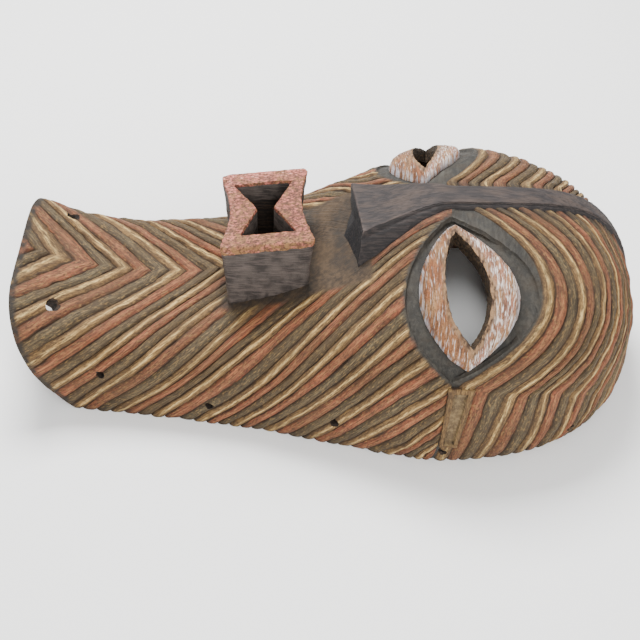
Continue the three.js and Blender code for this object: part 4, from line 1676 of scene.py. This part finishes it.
@dataclass(frozen=True)
class StripePaint(Finish):
    """Matt earth and clay paints, rubbed off each ridge's top, which is also painted paler as highlight.

    The eye sees three colours in turn with painted shade in the grooves between them, dry streaks
    along each stripe, paler flecks where the paint has worn, and chalk flecks on the cream ridge
    tops that partly stand as painted highlight. Each of the three has a body, a dark and a light
    colour, and a strength of the light colour, which paints the ridge tops as wear and painted
    highlight. The waver and the raggedness are shares of a stripe.
    """

    name: str = "earth_paint_on_wood"
    # Body, dark, light for the ridge tops (wear and painted highlight), and strength of each paint.
    terracotta: tuple = ("#8c4f33", "#563020", "#a96f48", 0.6)
    olive: tuple = ("#524731", "#352c1f", "#746447", 0.5)
    cream: tuple = ("#82643c", "#4b3621", "#b48c52", 1.0)
    # Chalk of the flecks on the cream ridge tops, which also stand as painted highlight.
    chalk: str = "#dcbc7c"
    # Dark of the painted shade in the grooves and hollows, also of dark specks.
    groove: str = "#24180f"
    dust: str = "#46341f"
    grit: str = "#ac8850"
    plain: tuple = ("#3f3326", "#2e241a", "#534230")
    # Dark of the soot at the chin's end and of the painted shade round the mouth and the nose.
    soot_and_shade: str = "#241f1a"
    slate: tuple = ("#2a2824", "#201e1b", "#3b3831")
    streak_length: float = 30
    streak_width: float = 1.5
    waver: float = 0.16
    raggedness: float = 0.16

    def numbered(self, palette: Palette) -> tuple:
        """Count of the stripes, whose edges of colour waver about the grooves.

        Args:
            palette: Palette of the material's node tree.

        Returns:
            The count, whether a stripe is past terracotta, whether it is cream, and the
            stripe's own random number.
        """
        tree = palette.tree
        stripe = add_node(tree, "Attribute", {}, 2, attribute_name="stripe")
        waver = palette.patches((16, 5, 9), 0.5, 0.3, Ground.STRIPE)
        count = add_node(tree, "Math", {0: waver, 1: self.waver, 2: stripe}, operation="MULTIPLY_ADD")
        count = add_node(tree, "Math", {0: count, 1: self.waver / 2}, operation="SUBTRACT")
        turn = add_node(tree, "Math", {0: count, 1: 3.0}, operation="FLOORED_MODULO")
        is_olive = add_node(tree, "Math", {0: turn, 1: 1.0}, operation="GREATER_THAN")
        is_cream = add_node(tree, "Math", {0: turn, 1: 2.0}, operation="GREATER_THAN")
        number = add_node(tree, "Math", {0: count}, operation="FLOOR")
        own = add_node(tree, "TexWhiteNoise", {"W": number}, noise_dimensions="1D")
        return count, is_olive, is_cream, own

    def across(self, palette: Palette, count: Socket) -> Socket:
        """Ragged distance from a stripe's middle, in stripes, so that a groove is at one half.

        Args:
            palette: Palette of the material's node tree.
            count: Count of the stripes.

        Returns:
            The distance.
        """
        tree = palette.tree
        place = add_node(tree, "Math", {0: count}, operation="FRACT")
        offset = add_node(tree, "Math", {0: place, 1: 0.5}, operation="SUBTRACT")
        distance = add_node(tree, "Math", {0: offset}, operation="ABSOLUTE")
        ragged = palette.patches((18, 2.2, 6), 0.5, 0.35, Ground.STRIPE)
        inputs = {0: ragged, 1: self.raggedness, 2: distance}
        return add_node(tree, "Math", inputs, operation="MULTIPLY_ADD")

    def flat_grounds(self, palette: Palette) -> tuple:
        """Colours of the ground without stripes and of the border paint, each with cloudy patches.

        Args:
            palette: Palette of the material's node tree.

        Returns:
            The two colours.
        """
        ground = palette.layered(
            self.plain[0],
            (palette.patches((12, 16, 12), 0.5, 0.2), self.plain[1]),
            (palette.patches(4, 0.42, 0.14), 0.7, self.plain[2]),
        )
        slate = palette.layered(
            self.slate[0],
            (palette.patches(16, 0.4, 0.2), 0.7, self.slate[1]),
            (palette.patches((4, 6, 4), 0.35, 0.14), 0.6, self.slate[2]),
        )
        return ground, slate

    def paint(self, palette: Palette) -> tuple:
        """Three paints by the stripe's count, with painted shade in the grooves and hollows, streaks,
        wear and painted highlight on the ridge tops, soot with painted shade, and border paint.

        Args:
            palette: Palette of the material's node tree.

        Returns:
            Colour, and height of the fine relief in millimetres.
        """
        tree = palette.tree
        plain, soot_and_shade, border = palette.tones()
        count, is_olive, is_cream, own = self.numbered(palette)
        streaks = palette.patches((self.streak_length, self.streak_width, 9), 0.5, 0.12, Ground.STRIPE)
        lines = palette.patches((self.streak_length * 1.6, 1.1, 9), 0.34, 0.06, Ground.STRIPE)
        broad = palette.patches((60, 15, 30), 0.45, 0.16, Ground.STRIPE)
        across = self.across(palette, count)
        # Ridge and top pick the ridge tops that are painted paler; groove picks the painted shade.
        spans = {
            "ridge": (across, 0.16, 0.34, 1, 0),
            "top": (across, 0.1, 0.28, 1, 0),
            "groove": (across, 0.43, 0.6, 0, 1),
            "dusty": (own, 0.3, 1, 0, 0.35),
            "carved": (plain, 0, 0.7, 1, 0),
            "plain": (plain, 0.15, 0.85, 0, 1),
        }
        shares = {
            place: add_node(tree, "MapRange", dict(enumerate(span)), interpolation_type="SMOOTHSTEP")
            for place, span in spans.items()
        }
        # Patches where the ridge tops take the light colour, as worn paint and as painted highlight.
        wear_and_highlight = palette.patches((16, 1.5, 5), 0.5, 0.1, Ground.STRIPE)
        terracotta, olive, cream = (
            palette.layered(
                body,
                (streaks, 0.85, dark),
                (broad, 0.4, dark),
                # Ridge tops painted paler, partly worn paint and partly painted highlight.
                (shares["ridge"], wear_and_highlight, strength, light),
                (lines, 0.6, dark),
            )
            for body, dark, light, strength in (self.terracotta, self.olive, self.cream)
        )
        # Chalk flecks on the cream ridge tops, partly chalk and partly painted highlight.
        flakes = palette.patches((11, 1.0, 3), 0.5, 0.12, Ground.STRIPE)
        flecks = add_node(tree, "Math", {0: shares["top"], 1: flakes}, operation="MULTIPLY")
        stripes = palette.layered(
            terracotta,
            (is_olive, olive),
            (is_cream, palette.layered(cream, (flecks, 0.9, self.chalk))),
            (shares["dusty"], self.dust),
            (palette.patches((3, 1.3, 2), 0.3, 0.07, Ground.STRIPE), 0.5, self.groove),
            (palette.patches((4, 1.0, 2), 0.1, 0.09, Ground.STRIPE), 0.32, self.grit),
        )
        grime = palette.patches((45, 30, 30), 0.42, 0.2)
        ground, slate = self.flat_grounds(palette)
        colour = palette.layered(
            stripes,
            (shares["plain"], ground),
            # Painted shade in the grooves between the ridges.
            (shares["groove"], shares["carved"], 0.9, self.groove),
            # Painted shade in hollows, where the surface bends in.
            (palette.bent(-0.1, -0.5, 0.8), self.groove),
            (grime, 0.4, self.dust),
            # Soot at the chin's end, painted shade round the mouth and the nose, darker towards the rim.
            (soot_and_shade, palette.patches(9, 0.85, 0.25), self.soot_and_shade),
            (border, slate),
        )
        flutes = palette.patches((55, 2.8, 9), 0.5, 0.4, Ground.STRIPE)
        fibres = palette.patches((self.streak_length, 1.2, 7), 0.5, 0.3, Ground.STRIPE)
        grit = palette.patches(1.7, 0.5, 0.3)
        return colour, palette.stacked((flutes, 0.55), (fibres, 0.35), (grit, 0.2), (flecks, 0.12))


@dataclass(frozen=True)
class SlatePaint(Finish):
    """Charcoal and clay border paint, brushed matt: an even grey black with paler scuffs, which on its
    edges are also painted highlight.
    """

    name: str = "charcoal_paint"
    roughness: float = 0.75
    body: str = "#2a2824"
    dark: str = "#1f1d1a"
    scuff_and_highlight: str = "#403d36"
    brown: str = "#382e22"

    def paint(self, palette: Palette) -> tuple:
        """Charcoal with dark and brown patches, scuffs on its edges that are partly painted highlight,
        and painted shade in its hollows.

        Args:
            palette: Palette of the material's node tree.

        Returns:
            Colour, and height of the fine relief in millimetres.
        """
        colour = palette.layered(
            self.body,
            (palette.patches(20, 0.4, 0.2), 0.7, self.dark),
            (palette.patches(14, 0.3, 0.18), 0.5, self.brown),
            (palette.patches((3, 9, 3), 0.35, 0.14), 0.45, self.scuff_and_highlight),
            # Edges painted paler, partly scuffs and partly painted highlight.
            (palette.bent(0.05, 0.35), palette.patches(5, 0.5, 0.1), self.scuff_and_highlight),
            # Painted shade in hollows.
            (palette.bent(-0.12, -0.5, 0.8), self.dark),
        )
        brushed = palette.patches((2, 7, 2), 0.5, 0.3)
        return colour, palette.stacked((brushed, 0.3), (palette.patches(1.3, 0.5, 0.3), 0.15))


@dataclass(frozen=True)
class LidPaint(Finish):
    """Red-brown clay paint under scratched chalk: the lids' white shows as dry, slanting strokes.

    A lid's tone is its edge round the slit, its outer edge, and 1 on the forehead's side.
    """

    name: str = "scratched_chalk_on_clay_paint"
    roughness: float = 0.75
    clay: str = "#83502f"
    tan: str = "#956e49"
    pink: str = "#93644f"
    chalk: str = "#d8ccc4"
    rim: str = "#aeaeb4"
    edge: str = "#86684a"
    dark: str = "#3a281b"

    def paint(self, palette: Palette) -> tuple:
        """Clay and chalk, with more chalk on the forehead's side and along the outer edge.

        Args:
            palette: Palette of the material's node tree.

        Returns:
            Colour, and height of the fine relief in millimetres.
        """
        edge, outer, upper = palette.tones()
        strokes = palette.patches((0.7, 5, 9), 0.2, 0.08, Ground.STRIPE, 4, (0, 0, 0.6))
        few = palette.patches((0.7, 7, 9), 0, 0.08, Ground.STRIPE, 4, (0, 0, -0.25))
        colour = palette.layered(
            self.clay,
            (upper, self.pink),
            (palette.patches((7, 20, 9), 0.45, 0.14, Ground.STRIPE), self.tan),
            (palette.patches((1.6, 14, 9), 0.4, 0.1, Ground.STRIPE), 0.6, self.dark),
            (palette.patches(1.6, 0.3, 0.07), 0.4, self.dark),
            (upper, strokes, 0.9, self.chalk),
            (few, 0.75, self.chalk),
            (outer, palette.patches((1.5, 12, 9), 0.4, 0.1, Ground.STRIPE), 0.8, self.rim),
            (edge, self.edge),
            (edge, palette.patches((3, 8, 5), 0.4, 0.1), self.dark),
            # Painted shade in hollows.
            (palette.bent(-0.15, -0.5, 0.8), self.dark),
        )
        return colour, palette.stacked((strokes, 0.22), (palette.patches(1.4, 0.5, 0.3), 0.25))


@dataclass(frozen=True)
class NosePaint(Finish):
    """Black paint rubbed grey: knife marks run along the nose, and its edges are paler, as wear and as
    painted highlight.

    The nose's tone is 1 on the front face, then 1 on the walls, which are painted darker as shade.
    """

    name: str = "rubbed_black_paint"
    roughness: float = 0.78
    specular: float = 0.25
    # Top colour, and darker copies of it for the walls and the front face as painted shade.
    top: str = "#2f2b2b"
    wall: str = "#2a2727"
    front: str = "#1f1f21"
    # Paler paint of wear, also laid on the edges as painted highlight.
    wear_and_highlight: str = "#4f4541"
    dark: str = "#1f1c1c"
    brown: str = "#453b36"

    def paint(self, palette: Palette) -> tuple:
        """Grey top, walls and front painted darker as shade, knife marks, edges paler as wear and painted
        highlight, and painted shade in hollows.

        Args:
            palette: Palette of the material's node tree.

        Returns:
            Colour, and height of the fine relief in millimetres.
        """
        front, wall, _ = palette.tones()
        marks = palette.patches((26, 1.6, 1.6), 0.4, 0.08)
        colour = palette.layered(
            self.top,
            (palette.patches((30, 9, 9), 0.4, 0.14), self.brown),
            # Walls and front face darkened as painted shade.
            (wall, self.wall),
            (front, self.front),
            (marks, 0.4, self.dark),
            (palette.patches((16, 2, 2), 0.3, 0.1), 0.3, self.wear_and_highlight),
            # Edges painted paler, partly wear and partly painted highlight.
            (palette.bent(0.06, 0.4), palette.patches((9, 4, 4), 0.6, 0.15), self.wear_and_highlight),
            # Painted shade in hollows.
            (palette.bent(-0.08, -0.4, 0.9), self.dark),
        )
        return colour, palette.stacked((marks, -0.14), (palette.patches(1.5, 0.5, 0.3), 0.12))


@dataclass(frozen=True)
class MouthWallPaint(Finish):
    """Black-brown paint on the mouth's walls, with slanting tool marks, painted pale as a highlight where
    they catch the light.
    """

    name: str = "black_brown_paint"
    roughness: float = 0.7
    body: str = "#463e39"
    pale: str = "#625650"
    dark: str = "#2b2522"
    tan: str = "#86694a"

    def paint(self, palette: Palette) -> tuple:
        """Dark brown with slanting marks painted pale as highlight, tan on the edges as wear and painted
        highlight, and painted shade in hollows.

        Args:
            palette: Palette of the material's node tree.

        Returns:
            Colour, and height of the fine relief in millimetres.
        """
        marks = palette.patches((15, 9, 1.6), 0.36, 0.08, Ground.BLOCK, 3, (0, 0.5, 0))
        colour = palette.layered(
            self.body,
            (palette.patches(13, 0.45, 0.14), self.dark),
            # Tool marks painted pale as a highlight.
            (marks, 0.4, self.pale),
            # Edges painted tan, partly wear and partly painted highlight.
            (palette.bent(0.1, 0.5), palette.patches(5, 0.4, 0.1), self.tan),
            # Painted shade in hollows.
            (palette.bent(-0.1, -0.4, 0.8), self.dark),
        )
        return colour, palette.stacked((marks, 0.16), (palette.patches(1.5, 0.5, 0.3), 0.2))


@dataclass(frozen=True)
class LipPaint(Finish):
    """Pink-red clay paint on the mouth's end, crusty, with bright dabs and tan where it wore off; the tan
    on its edges is also painted highlight.

    The mouth's tone is 1 where the dabs are, then 1 at the bare corners.
    """

    name: str = "pink_clay_paint"
    roughness: float = 0.75
    body: str = "#6f3f30"
    dab: str = "#c87465"
    chalk: str = "#eba896"
    dark: str = "#3f251b"
    tan: str = "#86633a"

    def paint(self, palette: Palette) -> tuple:
        """Brownish red, with pink dabs on the chin's side and the far edge, tan near corners, and tan on
        the edges as wear and painted highlight.

        Args:
            palette: Palette of the material's node tree.

        Returns:
            Colour, and height of the fine relief in millimetres.
        """
        dabbed, corners, _ = palette.tones()
        dabs = palette.patches((7, 2.2, 4), 0.4, 0.08)
        grain = palette.patches((2, 6, 4), 0.45, 0.1)
        colour = palette.layered(
            self.body,
            (palette.patches(12, 0.4, 0.16), 0.7, self.tan),
            (grain, 0.6, self.dark),
            (palette.patches((4, 2, 3), 0.3, 0.08), 0.6, self.dab),
            (dabbed, dabs, 0.9, self.dab),
            (dabbed, palette.patches((5, 1.5, 2), 0.1, 0.06), self.chalk),
            (corners, palette.patches(7, 0.6, 0.15), 0.8, self.tan),
            (palette.patches(2, 0.3, 0.07), 0.75, self.dark),
            # Edges painted tan, partly wear and partly painted highlight.
            (palette.bent(0.1, 0.5), palette.patches(8, 0.4, 0.12), 0.5, self.tan),
        )
        crust = palette.patches(1.4, 0.5, 0.3)
        return colour, palette.stacked((dabs, 0.2), (grain, 0.15), (crust, 0.25))


@dataclass(frozen=True)
class BareTimber(Finish):
    """Bare hardwood, cut with an adze and darkened by use: brown with long fibres and pores."""

    name: str = "handled_bare_hardwood"
    roughness: float = 0.7
    body: str = "#5c402b"
    pale: str = "#775a3e"
    dark: str = "#322217"

    def paint(self, palette: Palette) -> tuple:
        """Brown with fibres along the block, pores and painted shade in the hollows.

        Args:
            palette: Palette of the material's node tree.

        Returns:
            Colour, and height of the fine relief in millimetres.
        """
        fibres = palette.patches((45, 2.2, 2.2), 0.45, 0.12)
        colour = palette.layered(
            self.body,
            (palette.patches((60, 30, 30), 0.45, 0.14), self.dark),
            (fibres, 0.7, self.pale),
            (palette.patches((9, 1.1, 1.1), 0.3, 0.06), 0.7, self.dark),
            # Painted shade in hollows.
            (palette.bent(-0.05, -0.3, 0.6), self.dark),
        )
        return colour, palette.stacked((fibres, 0.35), (palette.patches((8, 1, 1), 0.5, 0.3), 0.2))


FINISHES = {
    Zone.STRIPES: StripePaint(),
    Zone.BORDER: SlatePaint(),
    Zone.LID: LidPaint(),
    Zone.NOSE: NosePaint(),
    Zone.MOUTH_WALL: MouthWallPaint(),
    Zone.MOUTH_TOP: LipPaint(),
    Zone.INSIDE: BareTimber(),
    Zone.PANEL: SlatePaint(
        "clay_paint_in_panel", body="#67543a", dark="#3d3123", scuff_and_highlight="#947d56", brown="#4f3f2c"
    ),
    Zone.BORE: BareTimber("burnt_timber", 0.8, body="#241b15", pale="#3d2e22", dark="#120e0b"),
    Zone.SLIT: BareTimber("cut_edge_timber", 0.75, body="#35291e", pale="#5c4934", dark="#1b140e"),
}


@dataclass
class KifwebeMask:
    """The whole carving: shell, sockets, lids, nose with crest, mouth, ears and cord holes."""

    name: str = "carved_mask"
    shell: StripedShell = field(default_factory=StripedShell)
    eyes: Eyes = field(default_factory=Eyes)
    nose: NoseAndCrest = field(default_factory=NoseAndCrest)
    mouth: Mouth = field(default_factory=Mouth)
    ears: Ears = field(default_factory=Ears)
    holes: CordHoles = field(default_factory=CordHoles)
    bend_size: float = 1.5
    most_bend: float = 2
    bend_passes: int = 2
    sharp_angle: float = 40

    def build(self) -> bpy.types.Object:
        """Carve the mask and dress it.

        Returns:
            The mask's object.
        """
        finishes = [FINISHES[zone].material() for zone in Zone]
        mask = self.shell.build(finishes)
        sockets, joined, holes = Skin(), Skin(), Skin()
        self.nose.add_to(joined)
        self.mouth.add_to(joined)
        self.mouth.cut_from(holes)
        for side in (NEAR, FAR):
            self.eyes.sockets(sockets, side)
            self.eyes.lids(joined, side)
            self.eyes.slits(holes, side)
            self.ears.add_to(joined, side)
            self.ears.cut_from(holes, side)
            self.holes.cut_from(holes, side)
        carve(mask, sockets.made("sockets", finishes), Cut.TAKE_AWAY)
        carve(mask, joined.made("joined_forms", finishes), Cut.JOIN)
        carve(mask, holes.made("holes", finishes), Cut.TAKE_AWAY)
        self.smooth(mask)
        return mask

    def smooth(self, mask: bpy.types.Object) -> None:
        """Cut the faces into triangles, measure the bend at each vertex and shade smooth.

        The bend is the mean over a vertex's edges of twice the fall from its tangent plane over
        the edge's squared length, in millimetres, and then averaged with its neighbours twice.

        Args:
            mask: Object of the carving.
        """
        mesh = mask.data
        cut = bmesh.new()
        cut.from_mesh(mesh)
        bmesh.ops.triangulate(cut, faces=cut.faces)
        cut.to_mesh(mesh)
        cut.free()
        mesh.shade_smooth()
        count = len(mesh.vertices)
        places, normals = np.empty((count, 3)), np.empty((count, 3))
        edges = np.empty((len(mesh.edges), 2), int)
        mesh.vertices.foreach_get("co", places.reshape(-1))
        mesh.vertex_normals.foreach_get("vector", normals.reshape(-1))
        mesh.edges.foreach_get("vertices", edges.reshape(-1))
        one, other = edges[:, 0], edges[:, 1]
        step = places[other] - places[one]
        square = (step**2).sum(-1) + 1e-12
        ends = np.concatenate([one, other])
        starts = np.concatenate([other, one])
        fall = np.concatenate([-(normals[one] * step).sum(-1), (normals[other] * step).sum(-1)])
        degree = np.maximum(np.bincount(ends, minlength=count), 1)
        bend = np.bincount(ends, 2 * fall / np.tile(square, 2), count) / degree * self.bend_size * MM
        bend = np.clip(bend, -self.most_bend, self.most_bend)
        for _ in range(self.bend_passes):
            bend = (bend + np.bincount(ends, bend[starts], count) / degree) / 2
        layer = mesh.attributes.new("bend", "FLOAT", "POINT")
        layer.data.foreach_set("value", bend)
        mesh.set_sharp_from_angle(angle=np.radians(self.sharp_angle))
        low, high = np.percentile(bend, (2, 98))
        log.info("%s: %d triangles, bend %.2f to %.2f", mask.name, len(mesh.polygons), low, high)


@dataclass
class Studio:
    """Pale floor, soft lights and the camera."""

    floor_size: float = 6
    floor_colour: str = "#f4f4f3"
    target: tuple = (-0.0085, -0.0368, 0.060)
    azimuth: float = -0.5
    elevation: float = 44
    distance: float = 1.217
    roll: float = 1.68
    lens: float = 73.125
    room_colour: str = "#ffffff"
    room_strength: float = 0.9
    soft_boxes: tuple = (
        ("soft_box_above", (-0.3, 0.9, 1.7), 0.8, 80),
        ("soft_box_front", (0.4, -1.6, 1.2), 1.2, 42),
    )

    def floor(self) -> None:
        """Make the floor, a matt sheet of paper level with the rim."""
        half = self.floor_size / 2
        mesh = bpy.data.meshes.new("paper_floor")
        corners = [(-half, -half, 0), (half, -half, 0), (half, half, 0), (-half, half, 0)]
        mesh.from_pydata(corners, [], [(0, 1, 2, 3)])
        floor = bpy.data.objects.new("paper_floor", mesh)
        bpy.context.scene.collection.objects.link(floor)
        paper = bpy.data.materials.new("matt_paper")
        paper.use_nodes = True
        shader = paper.node_tree.nodes["Principled BSDF"]
        shader.inputs["Base Color"].default_value = srgb(self.floor_colour)
        shader.inputs["Roughness"].default_value = 0.95
        mesh.materials.append(paper)

    def light(self, name: str, place: tuple, size: float, power: float) -> None:
        """Add a square soft light that faces the mask.

        Args:
            name: Name of the light.
            place: Place in metres.
            size: Side in metres.
            power: Power in watts.
        """
        lamp = bpy.data.lights.new(name, "AREA")
        lamp.size = size
        lamp.energy = power
        holder = bpy.data.objects.new(name, lamp)
        holder.location = place
        holder.rotation_euler = (-Vector(place)).to_track_quat("-Z", "Y").to_euler()
        bpy.context.scene.collection.objects.link(holder)

    def lights(self) -> None:
        """Add the even light of a white room and two soft boxes, the stronger one behind and above."""
        world = bpy.data.worlds.new("white_room")
        world.use_nodes = True
        background = world.node_tree.nodes["Background"]
        background.inputs["Color"].default_value = srgb(self.room_colour)
        background.inputs["Strength"].default_value = self.room_strength
        bpy.context.scene.world = world
        for soft_box in self.soft_boxes:
            self.light(*soft_box)

    def camera(self) -> None:
        """Add the camera, which looks at the target from its azimuth and elevation, a little rolled."""
        azimuth, elevation, roll = np.radians([self.azimuth, self.elevation, self.roll])
        flat = np.cos(elevation)
        back = Vector((np.sin(azimuth) * flat, -np.cos(azimuth) * flat, np.sin(elevation)))
        right = (-back).cross(Vector((0, 0, 1))).normalized()
        up = right.cross(-back)
        turned_right = right * np.cos(roll) + up * np.sin(roll)
        turned_up = up * np.cos(roll) - right * np.sin(roll)
        view = Matrix((turned_right, turned_up, back)).transposed().to_4x4()
        view.translation = Vector(self.target) + back * self.distance
        lens = bpy.data.cameras.new("camera")
        lens.lens = self.lens
        holder = bpy.data.objects.new("camera", lens)
        holder.matrix_world = view
        bpy.context.scene.collection.objects.link(holder)
        bpy.context.scene.camera = holder

    def build(self) -> None:
        """Make the floor, the lights and the camera."""
        self.floor()
        self.lights()
        self.camera()


def main() -> None:
    """Build the mask and its studio, hang the mask on the root body and hide the CAD node it stands for.
    """
    Studio().build()
    mask = KifwebeMask().build()
    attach(mask, "root")
    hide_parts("mask")
    log.info("%s rides on root", mask.name)


if __name__ == "__main__":
    logging.basicConfig(level=logging.INFO, format="%(message)s")
    main()
